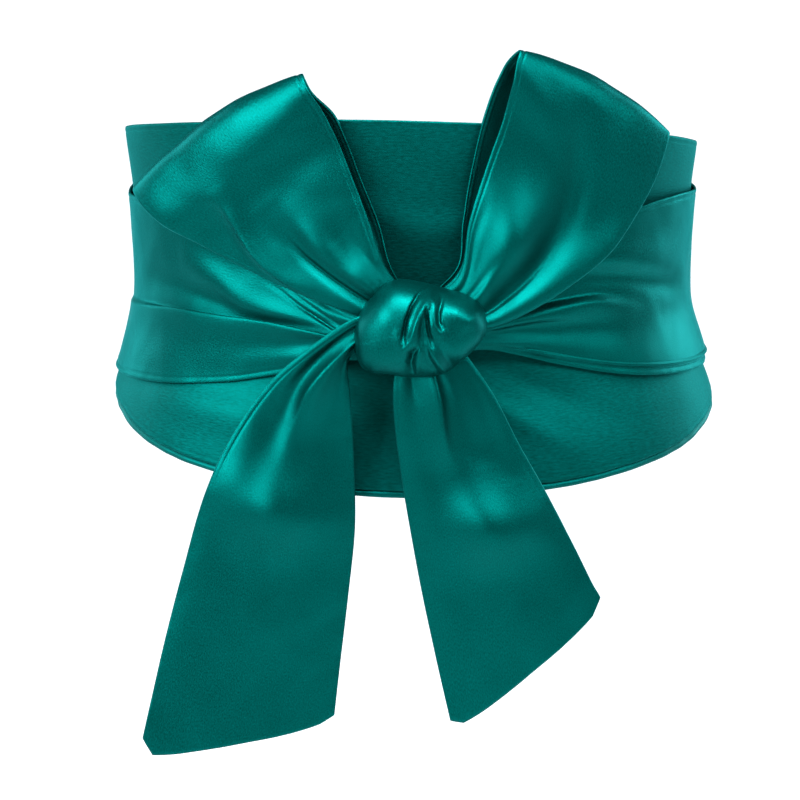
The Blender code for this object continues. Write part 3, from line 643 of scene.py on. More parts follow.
LEFT_WRAP = [
    (6.0, -9.0, -3.0, 8.0, 21.0, 1.2, 0.0, 5.0, 1.4),
    (14.0, -12.5, -2.0, 15.0, 13.0, 1.8, 1.2, 6.0, 1.4),
    (20.0, -17.0, -0.5, 22.0, 8.0, 1.6, 2.2, 9.0, 1.4),
    (28.0, -22.0, 1.2, 30.0, 5.2, 1.0, 2.8, 12.0, 1.4),
    (39.0, -27.0, 2.0, 38.0, 4.3, 0.5, 3.0, 14.0, 1.4),
    (60.0, -32.0, 1.6, 47.0, 3.8, 0.2, 2.2, 16.0, 1.6),
    (90.0, -34.0, -3.0, 46.5, 2.8, 0.0, 0.8, 16.0, 2.5),
    (115.0, -34.0, -4.0, 47.0, 2.8, 0.2, 0.0, 16.0, 3.0),
    (138.0, -37.0, -8.0, 42.5, 3.0, 1.0, 0.0, 16.0, 3.0),
    (150.0, -40.0, -14.0, 32.0, 5.4, 2.0, 0.0, 16.0, 3.0),
    (162.0, -42.0, -18.0, 19.5, 6.4, 2.6, 0.0, 16.0, 3.0),
    (169.0, -43.0, -21.0, 13.0, 6.2, 2.8, 0.0, 16.0, 3.0),
    (174.0, -43.0, -22.0, 10.2, 4.9, 2.8, 0.0, 16.0, 3.0),
    (180.0, -43.0, -23.0, 7.5, 3.0, 2.8, 0.0, 16.0, 3.0),
    (186.0, -42.5, -23.0, 4.8, 1.8, 2.4, 0.0, 16.0, 3.0),
    (191.0, -41.5, -22.0, 6.0, 1.0, 2.0, 0.0, 16.0, 3.0),
    (200.0, -38.0, -16.0, 18.0, 0.2, 1.6, 0.0, 16.0, 3.0),
    (211.0, -31.0, -4.0, 42.0, 0.0, 0.6, 0.0, 16.0, 3.0),
    (221.7, -27.0, 2.0, 53.0, 0.0, 0.0, 0.0, 16.0, 3.0),
]
# Other folds, each a line round the figure.
# Columns: turn, height, rise (minus for a hollow), half width below the line, half width above it
RIGHT_FOLDS = [
    [
        (10.0, 3.0, 0.0, 2.0, 2.0),
        (20.0, 5.0, 1.6, 2.6, 3.0),
        (30.0, 8.5, 2.6, 7.0, 2.6),
        (39.0, 9.0, 2.2, 7.0, 3.0),
        (48.0, 4.0, 1.0, 8.0, 5.0),
        (60.0, -2.0, 0.0, 8.0, 8.0),
    ],
    [
        (24.0, 22.0, 0.0, 4.0, 4.0),
        (38.0, 21.0, -1.2, 5.0, 4.0),
        (47.0, 18.0, -1.6, 5.0, 4.0),
        (58.0, 13.0, -1.2, 5.0, 5.0),
        (72.0, 7.0, 0.0, 6.0, 6.0),
    ],
    [
        (24.0, 31.0, 0.0, 5.0, 6.0),
        (42.0, 28.0, 1.6, 5.0, 9.0),
        (60.0, 21.0, 1.2, 5.0, 11.0),
        (80.0, 14.0, 0.0, 6.0, 12.0),
    ],
]
LEFT_FOLDS = [
    [
        (10.0, 1.0, 0.0, 2.0, 2.0),
        (18.0, 4.0, 1.6, 2.4, 2.6),
        (24.0, 6.0, 2.8, 3.0, 4.0),
        (31.0, 8.0, 3.0, 4.0, 6.0),
        (37.0, 11.0, 2.6, 5.0, 7.0),
        (43.0, 17.0, 1.8, 7.0, 8.0),
        (54.0, 26.0, 0.0, 8.0, 8.0),
    ],
    [
        (35.0, 6.0, 0.0, 3.0, 4.0),
        (43.0, 8.5, -1.0, 4.0, 6.0),
        (56.0, 12.0, -1.0, 5.0, 8.0),
        (72.0, 15.0, 0.0, 8.0, 8.0),
    ],
]
# Finer folds, sharper than the solids have
RIGHT_FINE = [
    [
        (16.0, -8.0, 0.0, 5.0, 8.0),
        (24.0, -14.0, -1.6, 5.0, 10.0),
        (36.0, -20.5, -1.8, 5.0, 12.0),
        (52.0, -26.5, 0.0, 5.0, 12.0),
    ],
    [
        (10.0, 1.5, 0.0, 0.8, 2.0),
        (16.0, 2.0, 0.8, 0.8, 2.5),
        (26.0, 3.5, 0.9, 0.9, 4.0),
        (36.0, 3.0, 0.3, 2.0, 5.0),
        (44.0, 0.0, 0.0, 3.0, 5.0),
    ],
    [
        (22.0, 10.0, 0.0, 1.0, 1.0),
        (29.0, 11.2, -1.0, 1.4, 1.0),
        (38.0, 12.4, -1.2, 2.0, 1.2),
        (48.0, 9.0, -0.5, 3.0, 2.0),
        (56.0, 4.0, 0.0, 4.0, 3.0),
    ],
    [
        (168.0, 1.0, 0.0, 2.5, 4.0),
        (174.0, 4.2, -1.4, 2.5, 4.0),
        (180.0, 6.9, -2.2, 2.5, 4.0),
        (186.0, 9.6, -1.6, 2.5, 4.0),
        (194.0, 5.0, 0.0, 2.5, 4.0),
    ],
]
LEFT_FINE = [
    [
        (18.0, -15.0, 0.0, 6.0, 10.0),
        (28.0, -22.0, -2.2, 6.0, 14.0),
        (39.0, -27.0, -2.2, 6.0, 15.0),
        (54.0, -31.0, -1.0, 6.0, 14.0),
        (70.0, -33.0, 0.0, 6.0, 12.0),
    ],
    [
        (9.0, -1.0, 0.0, 0.8, 0.8),
        (13.0, 0.5, -0.9, 0.6, 0.6),
        (21.0, 9.0, -1.1, 0.6, 0.7),
        (26.0, 15.5, -0.6, 0.8, 1.0),
        (31.0, 21.0, 0.0, 1.6, 1.6),
    ],
    [
        (12.0, 2.5, 0.0, 0.6, 0.8),
        (17.0, 8.0, -0.7, 0.6, 0.8),
        (22.0, 13.5, -0.6, 0.8, 1.0),
        (27.0, 19.0, 0.0, 1.2, 1.2),
    ],
]
print("folds round the right side:", 1 + len(RIGHT_FOLDS), " round the left side:", 1 + len(LEFT_FOLDS))

# %% [markdown]
# ## The form of a tie
# A tie's surface is read from its table: its distance from the figure, its gathers, which are waves across
# it, and its folds, which are soft ridges along it. Gathers can't be deeper than the cloth's thickness
# lets them turn, so a limit keeps them from cutting through themselves where the tie is narrow.

# %% Helpers for the ties round the waist
TIE_WIDTH = 90.0
TIE_WALL = 1.6
GATHERS_PER_TIE = 3.5


def gather_limit(width, waves):
    """The deepest gathers that cloth of the solid's wall can turn through without touching itself."""
    return (width / (2.0 * math.pi * waves)) ** 2 / (1.5 * TIE_WALL)


def wrap_row(table, turn):
    turns = column(table, 0)
    return [read_curve(turns, column(table, index), turn) for index in range(1, len(table[0]))]


def wrap_form(table, folds, turn, height):
    """How far the tie's inner face stands off the figure, without the one long fold."""
    low, _, high, off, gather = wrap_row(table, turn)[0:5]
    gather = np.minimum(gather, 2.0 * gather_limit(high - low, GATHERS_PER_TIE))
    along = (height - low) / (high - low)
    wave = 0.5 - 0.5 * np.cos(2.0 * math.pi * GATHERS_PER_TIE * along)
    return off + gather * wave + folds_lift(folds, turn, height, 1.0)


deepest = gather_limit(TIE_WIDTH / 2.0, GATHERS_PER_TIE)
print("a tie drawn in to half its width can have gathers", round(deepest, 2), "mm deep on each side")

# %% [markdown]
# ## The lap of the long fold
# Beside the long fold, one band of the tie lies on top of the other. A simulated cloth could find such a
# lap, but not where it is wanted, so it is drawn: a narrow part of the grid runs up, back down and up
# again in an S, and the band on top stands a little proud. Fine ripples show where the cloth is bunched.

# %% Ties round the waist
CLOTH_WALL = 1.1
PLEAT_SHARE = 0.16
PLEAT_SPREAD = 1.5
LAP_REACH = 1.5
WRAP_ROUND = 430.0
WRAP_CELLS = (330, 96)
# How much of the cloth beside the lap lies below it, where the upper or the lower band is on top
BELOW_UPPER_LAP = 0.14
BELOW_LOWER_LAP = 0.45
# Turns at which something is gone and is full
LOWER_LAP_FROM = (72.0, 48.0)
NEAR_KNOT_FROM = (34.0, 10.0)
BEHIND_FROM = (135.0, 150.0)
BEHIND_TO = (212.0, 197.0)
RIPPLES_PER_TIE = 8.0
RIPPLE_WANDER = 17.0
KNOT_RIPPLE = 0.07
BACK_RIPPLE = 0.45
WRAP_DENTS = 0.28
WRAP_SINK = 0.2


def wrap_place(table, folds, side, upper_on_top, seed):
    """Functions that lay out a tie and its flat cut. upper_on_top says which band laps over the other."""
    first, last = table[0][0], table[-1][0]
    below_share = (1.0 - PLEAT_SHARE) * (BELOW_UPPER_LAP if upper_on_top else BELOW_LOWER_LAP)
    above_from = below_share + PLEAT_SHARE

    def place(across, along):
        turn = first + (last - first) * across
        low, line, high, _, _, rise, below, above = wrap_row(table, turn)
        fade = smooth_step(rise) * (1.0 if upper_on_top else soft_rise(turn, *LOWER_LAP_FROM))
        # The S of the lap: through is 0 at its lower end and 1 at its upper end
        through = np.clip((along - below_share) / PLEAT_SHARE, 0.0, 1.0)
        lap = PLEAT_SPREAD * (2.0 * through - 1.0) + LAP_REACH * fade * np.sin(2.0 * math.pi * through)
        under_share = crowd_edges(np.clip(along / below_share, 0.0, 1.0), LAP_CROWDING)
        under = low + (line - PLEAT_SPREAD - low) * under_share
        over_share = crowd_edges(np.clip((along - above_from) / (1.0 - above_from), 0.0, 1.0), LAP_CROWDING)
        over = line + PLEAT_SPREAD + (high - line - PLEAT_SPREAD) * over_share
        height = np.where(along < below_share, under, np.where(along > above_from, over, line + lap))
        # The band on top stands proud, and sinks back away from its edge
        proud = 0.5 - 0.5 * np.cos(math.pi * through)
        proud = proud if upper_on_top else 1.0 - proud
        lifted = rise * proud * ridge(height - line, above if upper_on_top else below)
        run = turn / (last - first) * WRAP_ROUND
        position = (height - low) / (high - low)
        wander = 2.0 * np.sin(run / RIPPLE_WANDER + seed) + seed
        ripple = np.sin(2.0 * math.pi * RIPPLES_PER_TIE * position + wander)
        behind = soft_rise(turn, *BEHIND_FROM) * soft_rise(turn, *BEHIND_TO)
        fine = ripple * (KNOT_RIPPLE * soft_rise(turn, *NEAR_KNOT_FROM) + BACK_RIPPLE * behind)
        fine = fine + WRAP_DENTS * unevenness(run, height, seed)
        fine = fine + sewn_edge(height - low, run) + sewn_edge(high - height, run + 31.0)
        form = wrap_form(table, folds, turn, height)
        return on_figure(side * turn, height, form + lifted + fine + TIE_WALL - WRAP_SINK)

    def flat(across, along):
        return np.stack((across * WRAP_ROUND, along * TIE_WIDTH), axis=-1)

    return place, flat


place_right, flat_right = wrap_place(RIGHT_WRAP, RIGHT_FOLDS + RIGHT_FINE, 1.0, True, 0.4)
right_wrap = make_cloth("right_wrap_cloth", WRAP_CELLS, place_right, flat_right, CLOTH_WALL, -1.0, tie_satin)
finish_piece(right_wrap, "right_wrap")
place_left, flat_left = wrap_place(LEFT_WRAP, LEFT_FOLDS + LEFT_FINE, -1.0, False, 2.1)
left_wrap = make_cloth("left_wrap_cloth", WRAP_CELLS, place_left, flat_left, CLOTH_WALL, 1.0, tie_satin)
finish_piece(left_wrap, "left_wrap")

# %% [markdown]
# ## Loops and tails
# A bow is made of ribbons: each loop goes out from the knot, turns over and comes back behind itself, and
# each tail hangs to a slanting cut end. A ribbon's form is a table of its two edges, with a crown between
# them. Folds that start at the knot and run out of it are lines on the ribbon, given by the distance along
# it and the place across it. Where a ribbon would pass through the waist it lies on it instead.

# %% Tables of the loops and tails
# Columns: left edge x y z, right edge x y z, crown towards the outside, gather depth
LEFT_LOOP = [
    (-8, -114, 4, -2, -113, 18, 0.0, 0.6),
    (-24, -115, 10, -12, -113, 32, 2.0, 0.8),
    (-48, -108, 18, -20, -111, 54, 3.0, 0.6),
    (-74, -96, 28, -29, -108, 77, 4.0, 0.3),
    (-98, -82, 39, -38, -104, 98, 4.0, 0.0),
    (-116, -72, 51, -45, -105, 109, 6.0, 0.0),
    (-121, -66, 56, -47, -101, 113, 7.4, 0.0),
    (-117, -60, 53, -43.5, -98, 105.5, 4.5, 0.0),
    (-97, -71, 41, -32.5, -98, 93.5, 2.0, 0.4),
    (-72, -85, 31, -22, -99, 68, 1.0, 1.0),
    (-46, -99, 22, -14, -102, 48, 0.0, 1.5),
    (-24, -107, 12, -9, -106, 30, 0.0, 1.5),
    (-8, -107, 6, -2, -107, 18, 0.0, 0.5),
]
RIGHT_LOOP = [
    (8, -113, 18, 14, -114, 4, 0.0, 0.6),
    (20, -113, 28, 31, -115, 4, 2.0, 0.8),
    (24, -110, 50, 48, -111, 10, 3.0, 0.6),
    (31, -108, 72, 67, -103, 21, 4.0, 0.3),
    (39, -106, 95, 87, -93, 37, 4.0, 0.0),
    (44, -107, 118, 105, -85, 63, 5.0, 0.0),
    (45.6, -103, 124.0, 112, -76, 83.5, 5.8, 0.0),
    (39.5, -98, 117, 107, -68, 75, 4.0, 0.0),
    (31.5, -98, 98, 88, -78, 49, 2.0, 0.4),
    (25, -99, 72, 68, -90, 34, 1.0, 1.0),
    (21, -102, 48, 47, -99, 21, 0.0, 1.5),
    (19, -105, 30, 28, -107, 11, 0.0, 1.5),
    (8, -107, 18, 12, -107, 6, 0.0, 0.5),
]
LEFT_TAIL = [
    (-12, -120, 12, -14, -117, -2, 0.0, 0.4),
    (-26, -121, 10, -27, -117, -8, 1.5, 0.4),
    (-45, -120, -3, -27, -118, -22, 2.0, 0.4),
    (-62, -117, -19, -26, -117, -38, 2.5, 0.4),
    (-79, -115, -44, -25, -115, -62, 3.5, 0.6),
    (-90, -113, -68, -25, -113, -85, 4.5, 0.8),
    (-100, -111, -103, -28, -111, -115, 5.0, 0.8),
    (-110, -110, -142, -31, -109, -141, 4.0, 0.6),
    (-120, -109, -187.5, -34.5, -108, -171.5, 3.0, 0.0),
]
RIGHT_TAIL = [
    (-4, -117, -2, 18, -116, 0, 0.0, 0.4),
    (-8, -119, -16, 25, -117, -9, 2.0, 0.4),
    (-8, -119, -35, 35, -118, -24, 3.5, 0.4),
    (-5, -117, -60, 46, -116, -46, 4.5, 0.5),
    (-1, -115, -85, 58, -113, -68, 5.5, 0.8),
    (4, -113, -113, 70, -111, -92, 5.5, 0.8),
    (10, -111, -142, 79, -109, -111, 5.0, 0.6),
    (17.5, -109, -175.5, 83, -108, -119.5, 4.0, 0.0),
]
# Columns: distance along, place across (0 left to 1 right), rise, half width on its left, half width on
# its right
LEFT_LOOP_FOLDS = [
    [
        (30.0, 0.04, 0.0, 3.0, 4.0),
        (47.0, 0.06, 0.8, 2.5, 6.0),
        (60.0, 0.11, 1.3, 2.8, 8.0),
        (71.0, 0.18, 1.7, 3.2, 10.0),
        (79.0, 0.24, 2.0, 3.6, 10.0),
        (88.0, 0.29, 1.4, 6.0, 10.0),
        (97.0, 0.30, 0.5, 8.0, 10.0),
        (106.0, 0.26, 0.0, 8.0, 10.0),
    ],
    [
        (8.0, 0.36, -0.8, 2.0, 2.0),
        (18.0, 0.35, -2.2, 3.0, 3.0),
        (32.0, 0.335, -3.6, 3.6, 4.0),
        (46.0, 0.345, -3.6, 4.4, 5.0),
        (59.0, 0.38, -2.2, 5.5, 6.0),
        (74.0, 0.42, 0.0, 8.0, 8.0),
    ],
    [
        (8.0, 0.70, 0.5, 4.0, 4.0),
        (22.0, 0.68, 2.2, 6.0, 6.0),
        (30.0, 0.68, 1.4, 7.0, 7.0),
        (42.0, 0.66, 0.0, 8.0, 8.0),
    ],
]
RIGHT_LOOP_FOLDS = [
    [
        (8.0, 0.75, -0.8, 2.0, 2.0),
        (20.0, 0.78, -2.4, 4.0, 3.0),
        (40.0, 0.78, -4.4, 8.0, 5.0),
        (55.0, 0.75, -4.8, 9.0, 6.0),
        (70.0, 0.69, -4.6, 10.0, 7.0),
        (85.0, 0.60, -3.8, 10.0, 8.0),
        (98.0, 0.52, -2.6, 9.0, 10.0),
        (114.0, 0.46, 0.0, 8.0, 12.0),
    ],
    [
        (10.0, 0.50, 0.5, 3.0, 3.0),
        (25.0, 0.50, 1.4, 6.0, 5.0),
        (45.0, 0.40, 1.4, 10.0, 8.0),
        (65.0, 0.32, 0.8, 11.0, 9.0),
        (85.0, 0.26, 0.0, 12.0, 10.0),
    ],
    [
        (10.0, 0.93, 0.4, 2.0, 2.0),
        (30.0, 0.96, 2.2, 6.0, 4.0),
        (55.0, 0.98, 4.2, 11.0, 6.0),
        (76.0, 0.99, 4.2, 12.0, 7.0),
        (95.0, 0.97, 1.0, 10.0, 8.0),
        (108.0, 0.95, 0.0, 10.0, 8.0),
    ],
]
LEFT_TAIL_FOLDS = [
    [
        (6.0, 0.60, 0.4, 2.0, 3.0),
        (14.0, 0.60, 1.4, 2.0, 4.0),
        (28.0, 0.44, 2.4, 2.2, 5.0),
        (40.0, 0.40, 3.0, 2.8, 7.0),
        (52.0, 0.42, 2.8, 3.5, 9.0),
        (66.0, 0.43, 1.8, 5.0, 12.0),
        (90.0, 0.45, 0.0, 8.0, 14.0),
    ],
    [
        (10.0, 0.34, -0.4, 1.5, 1.5),
        (20.0, 0.31, -1.4, 2.0, 2.0),
        (32.0, 0.26, -2.2, 3.0, 2.6),
        (46.0, 0.26, -1.6, 4.0, 3.6),
        (58.0, 0.27, 0.0, 5.0, 5.0),
    ],
    [
        (10.0, 0.10, 0.3, 2.0, 2.0),
        (30.0, 0.08, 1.0, 3.0, 3.0),
        (60.0, 0.10, 0.8, 5.0, 6.0),
        (80.0, 0.12, 0.5, 7.0, 8.0),
        (105.0, 0.10, 0.0, 8.0, 8.0),
    ],
]
RIGHT_TAIL_FOLDS = [
    [
        (4.0, 0.50, 0.4, 4.0, 1.6),
        (12.0, 0.50, 1.8, 6.0, 1.8),
        (24.0, 0.49, 2.8, 8.0, 2.0),
        (34.0, 0.45, 2.6, 8.0, 2.4),
        (46.0, 0.42, 1.4, 8.0, 3.0),
        (60.0, 0.42, 0.0, 8.0, 6.0),
    ],
    [
        (8.0, 0.62, -0.4, 2.0, 3.0),
        (20.0, 0.64, -1.8, 3.0, 5.0),
        (40.0, 0.62, -2.0, 5.0, 6.0),
        (60.0, 0.66, 0.0, 6.0, 6.0),
    ],
    [
        (34.0, 0.38, 0.0, 5.0, 5.0),
        (52.0, 0.42, 0.8, 8.0, 9.0),
        (67.0, 0.50, 0.8, 10.0, 10.0),
        (88.0, 0.58, 0.4, 10.0, 12.0),
        (112.0, 0.60, 0.0, 12.0, 12.0),
    ],
    [
        (10.0, 0.84, -0.4, 3.0, 3.0),
        (24.0, 0.85, -1.4, 5.0, 4.0),
        (45.0, 0.82, -1.6, 6.0, 5.0),
        (70.0, 0.82, 0.0, 7.0, 6.0),
    ],
]
# Finer folds, sharper than the solids have. A small half width on one side makes a lapped edge.
LEFT_LOOP_FINE = [
    [
        (10.0, 0.36, 0.0, 0.7, 7.0),
        (18.0, 0.355, 1.8, 0.7, 8.0),
        (32.0, 0.335, 2.6, 0.7, 10.0),
        (46.0, 0.345, 2.4, 0.8, 12.0),
        (59.0, 0.38, 0.7, 1.4, 12.0),
        (70.0, 0.43, 0.0, 3.0, 12.0),
    ],
    [
        (34.0, 0.03, 0.0, 0.7, 4.0),
        (47.0, 0.05, 1.6, 0.8, 4.0),
        (60.0, 0.10, 2.2, 0.8, 5.0),
        (78.0, 0.23, 2.0, 0.9, 6.0),
        (88.0, 0.28, 0.8, 1.6, 8.0),
        (96.0, 0.30, 0.0, 5.0, 8.0),
    ],
    [
        (6.0, 0.86, 0.0, 1.2, 2.0),
        (16.0, 0.84, -0.9, 1.4, 2.2),
        (30.0, 0.80, -0.7, 2.0, 3.0),
        (44.0, 0.80, 0.0, 3.0, 3.0),
    ],
]
RIGHT_LOOP_FINE = [
    [
        (8.0, 0.80, 0.0, 0.7, 4.0),
        (20.0, 0.81, 1.2, 0.7, 5.0),
        (36.0, 0.81, 1.7, 0.8, 6.0),
        (52.0, 0.78, 1.4, 1.2, 8.0),
        (66.0, 0.73, 0.6, 2.5, 9.0),
        (80.0, 0.68, 0.0, 4.0, 10.0),
    ],
    [
        (8.0, 0.20, 0.0, 1.5, 1.5),
        (20.0, 0.16, -1.0, 2.0, 1.6),
        (34.0, 0.12, -0.8, 3.0, 2.4),
        (50.0, 0.10, 0.0, 3.0, 3.0),
    ],
    [
        (8.0, 0.42, 0.0, 1.2, 1.2),
        (18.0, 0.40, -0.8, 1.6, 1.6),
        (32.0, 0.44, -0.5, 2.4, 2.4),
        (46.0, 0.50, 0.0, 3.0, 3.0),
    ],
]
LEFT_TAIL_FINE = [
    [
        (6.0, 0.60, 0.0, 0.7, 3.0),
        (14.0, 0.58, 0.9, 0.7, 4.0),
        (28.0, 0.43, 1.3, 0.7, 6.0),
        (42.0, 0.385, 1.3, 0.8, 8.0),
        (54.0, 0.42, 0.7, 1.4, 9.0),
        (68.0, 0.44, 0.0, 3.0, 9.0),
    ],
    [
        (20.0, 0.80, 0.0, 1.5, 1.5),
        (34.0, 0.78, -0.7, 2.0, 2.0),
        (52.0, 0.74, 0.0, 4.0, 4.0),
    ],
]
RIGHT_TAIL_FINE = [
    [
        (4.0, 0.50, 0.0, 4.0, 0.7),
        (12.0, 0.505, 0.9, 5.0, 0.7),
        (24.0, 0.495, 1.4, 6.0, 0.7),
        (34.0, 0.455, 1.2, 6.0, 0.8),
        (46.0, 0.42, 0.4, 6.0, 1.8),
        (56.0, 0.41, 0.0, 6.0, 3.0),
    ],
    [
        (6.0, 0.22, 0.0, 1.2, 1.2),
        (14.0, 0.22, -0.7, 1.5, 1.5),
        (26.0, 0.26, 0.0, 2.5, 2.5),
    ],
]
# Soft swells (minus for dents). Columns: distance along, place across, rise, half length, half width
SWELLS = {
    "left_loop": [
        (95.0, 0.12, 3.6, 11.0, 24.0),
        (95.0, 0.52, 4.4, 15.0, 24.0),
        (95.0, 0.88, 3.8, 14.0, 24.0),
        (103.0, -0.06, 4.0, 14.0, 26.0),
        (35.0, 0.60, -1.6, 9.0, 7.0),
    ],
    "right_loop": [
        (46.0, 0.44, 5.0, 15.0, 14.0),
        (98.0, 0.12, 1.6, 11.0, 20.0),
    ],
    "left_tail": [
        (97.0, 0.46, 9.4, 18.0, 23.0),
        (60.0, 0.40, -2.0, 14.0, 22.0),
        (150.0, 0.55, 1.0, 20.0, 22.0),
    ],
    "right_tail": [
        (86.0, 0.57, 8.6, 17.0, 21.0),
        (56.0, 0.50, -1.8, 12.0, 16.0),
        (128.0, 0.35, 1.2, 16.0, 20.0),
    ],
}
print("rows in the loops:", len(LEFT_LOOP), "and", len(RIGHT_LOOP))
print("rows in the tails:", len(LEFT_TAIL), "and", len(RIGHT_TAIL))

# %% [markdown]
# ## Lying on the waist
# The loops and tails rest on the panel and on the ties round the waist. A simulation could drop them
# there, but the folds given in the tables would slip. Instead, a point that would lie inside is moved
# forward to just in front of what is behind it, with a soft change so that no crease shows.

# %% Helpers for cloth that lies on the waist
# How far beside a tie its reach fades away, and the turn nearest to the knot at which it is read
EASE = 8.0
NEAR_KNOT = 20.0
# The gap that stays under a ribbon, and how softly it meets what is behind it
LYING_GAP = 0.8
SOFT_LANDING = 0.8


def wrap_off(table, folds, turn, height):
    """How far the tie's inner face stands off the figure, with the long fold as a soft step."""
    _, line, _, _, _, rise, below, above = wrap_row(table, turn)
    away = height - line
    return wrap_form(table, folds, turn, height) + rise * ridge(away, np.where(away < 0.0, below, above))


def wrap_reach(table, folds, turn, height):
    """How far off the figure a tie's outer face lies here, or 0 beside it."""
    low, _, high = wrap_row(table, turn)[0:3]
    beside = soft_rise(height, low - EASE, low) * soft_rise(height, high + EASE, high)
    return beside * (wrap_off(table, folds, turn, np.clip(height, low, high)) + TIE_WALL)


def clear_of_waist(points):
    """Points moved forward to lie on the panel and the ties round the waist, if they were inside them."""
    x, y, z = points[:, 0], points[:, 1], points[:, 2]
    half = half_width_at(z) + PANEL_WALL
    turn = np.degrees(np.arcsin(np.clip(x / half, -1.0, 1.0)))
    reach = LYING_GAP + np.maximum(
        PANEL_WALL,
        np.maximum(
            wrap_reach(RIGHT_WRAP, RIGHT_FOLDS, np.maximum(turn, NEAR_KNOT), z),
            wrap_reach(LEFT_WRAP, LEFT_FOLDS, np.maximum(-turn, NEAR_KNOT), z),
        ),
    )
    out = half_width_at(z) + reach
    deep = half_width_at(z) * FIGURE_DEPTH_SHARE + reach
    front = -deep * np.sqrt(np.clip(1.0 - (x / out) ** 2, 0.0, 1.0))
    landed = (y + front - np.sqrt((y - front) ** 2 + SOFT_LANDING**2)) / 2.0
    moved = points.copy()
    moved[:, 1] = np.where(np.abs(x) < half, landed, y)
    return moved


in_the_middle = np.zeros((1, 3))
moved_by = -float(clear_of_waist(in_the_middle)[0, 1])
print("a point in the middle of the waist is moved forward by", round(moved_by, 1), "mm")

# %% [markdown]
# ## A ribbon from two edges
# A ribbon could be swept along one curve, but its two edges go different ways in a bow, so each has a
# curve of its own and the cloth spans them. Everything else is added along the cloth's own face: a crown
# across it, gathers, folds, swells, ripples that fan out of the knot, and sewn edges. A tail's end is
# bowed and its corners are cut back, as a slanted end turned right side out always is.

# %% Helpers for ribbons
RIBBON_GATHERS = 2.5
GATHER_SHARE = 0.6
STEP_AHEAD = 2.0
RIBBON_DENTS = 0.35
# Ripples by the knot: their number across the ribbon, how deep they are, where, and how far they reach
FAN_RIPPLES = 6.0
FAN_DEPTH = 0.08
FAN_AT = 14.0
FAN_REACH = 20.0
FAN_WANDER = 23.0
# Distances from the knot at which the seams' lines are gone and are full
TAIL_SEAMS = (110.0, 70.0)
LOOP_SEAMS = (16.0, 46.0)
END_SEAM = 0.05
TAIL_END_BOW = 3.0
TAIL_END_REACH = 30.0
TAIL_CORNER_WIDTH = 6.0
# How far the left and right corners of each tail are cut back along it
TAIL_CORNERS = {"left_tail": (7.5, 1.5), "right_tail": (3.5, 3.0)}


def lengths(vectors):
    return np.linalg.norm(vectors, axis=-1)


def ribbon_place(table, folds, swells, outside, corners, seams, seed):
    """Functions that lay out a ribbon and its flat cut, and its length. Only tails have corners."""
    rows = np.array(table, float)
    left_edge, right_edge = rows[:, 0:3], rows[:, 3:6]
    middles = (left_edge + right_edge) / 2.0
    runs = np.concatenate(([0.0], np.cumsum(lengths(np.diff(middles, axis=0)))))
    length = runs[-1]

    def edges(run):
        return tuple(
            np.stack([read_curve(runs, edge[:, axis], run) for axis in range(3)], axis=-1)
            for edge in (left_edge, right_edge)
        )

    def place(across, along):
        run = along * length
        across = crowd_edges(across, SEAM_CROWDING)
        left, right = edges(run)
        before, after = edges(np.maximum(run - STEP_AHEAD, 0.0)), edges(np.minimum(run + STEP_AHEAD, length))
        ahead = (after[0] + after[1] - before[0] - before[1]) / 2.0
        span = right - left
        width = lengths(span)
        face = np.cross(span, ahead) * outside
        face /= lengths(face)[:, None]
        lift = read_curve(runs, rows[:, 6], run) * 4.0 * across * (1.0 - across)
        gather = np.minimum(read_curve(runs, rows[:, 7], run), gather_limit(width, RIBBON_GATHERS))
        lift += GATHER_SHARE * gather * np.sin(2.0 * math.pi * RIBBON_GATHERS * across)
        lift += folds_lift(folds, run, across, width)
        for centre, middle, rise, half_length, half_width in swells:
            lift += rise * ridge(run - centre, half_length) * ridge((across - middle) * width, half_width)
        from_knot = run if corners else np.minimum(run, length - run)
        wander = seed + 0.8 * np.sin(run / FAN_WANDER + seed)
        ripple = np.sin(2.0 * math.pi * FAN_RIPPLES * across + wander)
        lift += FAN_DEPTH * ripple * ridge(from_knot - FAN_AT, FAN_REACH)
        lift += RIBBON_DENTS * unevenness(across * width + 5.0 * seed, run, seed)
        seam_share = soft_rise(from_knot, *(TAIL_SEAMS if corners else LOOP_SEAMS))
        lift += sewn_edge(across * width, run, seams[0] * seam_share)
        lift += sewn_edge((1.0 - across) * width, run + 17.0, seams[1] * seam_share)
        if corners:
            lift += sewn_edge(length - run, across * width, END_SEAM)
        points = left + span * across[:, None] + face * lift[:, None]
        if corners:
            near_end = soft_rise(run, length - TAIL_END_REACH, length)
            further = TAIL_END_BOW * (1.0 - (2.0 * across - 1.0) ** 4)
            for corner, inward in zip(corners, (across * width, (1.0 - across) * width)):
                further = further - corner * np.maximum(0.0, 1.0 - inward / TAIL_CORNER_WIDTH)
            points += ahead / lengths(ahead)[:, None] * (near_end * further)[:, None]
        return clear_of_waist(points)

    def flat(across, along):
        return np.stack((along * length, crowd_edges(across, SEAM_CROWDING) * TIE_WIDTH), axis=-1)

    return place, flat, length


first_steps = lengths(np.diff(np.array(LEFT_TAIL, float)[:3, 0:3], axis=0))
print("first steps along the left tail's left edge, mm:", [round(float(step)) for step in first_steps])

# %% [markdown]
# ## The bow's four ribbons
# Both loops and both tails are stretches of the same tie, so one table and one pass over it make them all.
# The tails hang, and the loops are gathered into the knot. A loop is drawn in there, so it holds less cloth
# than its length and width would give.

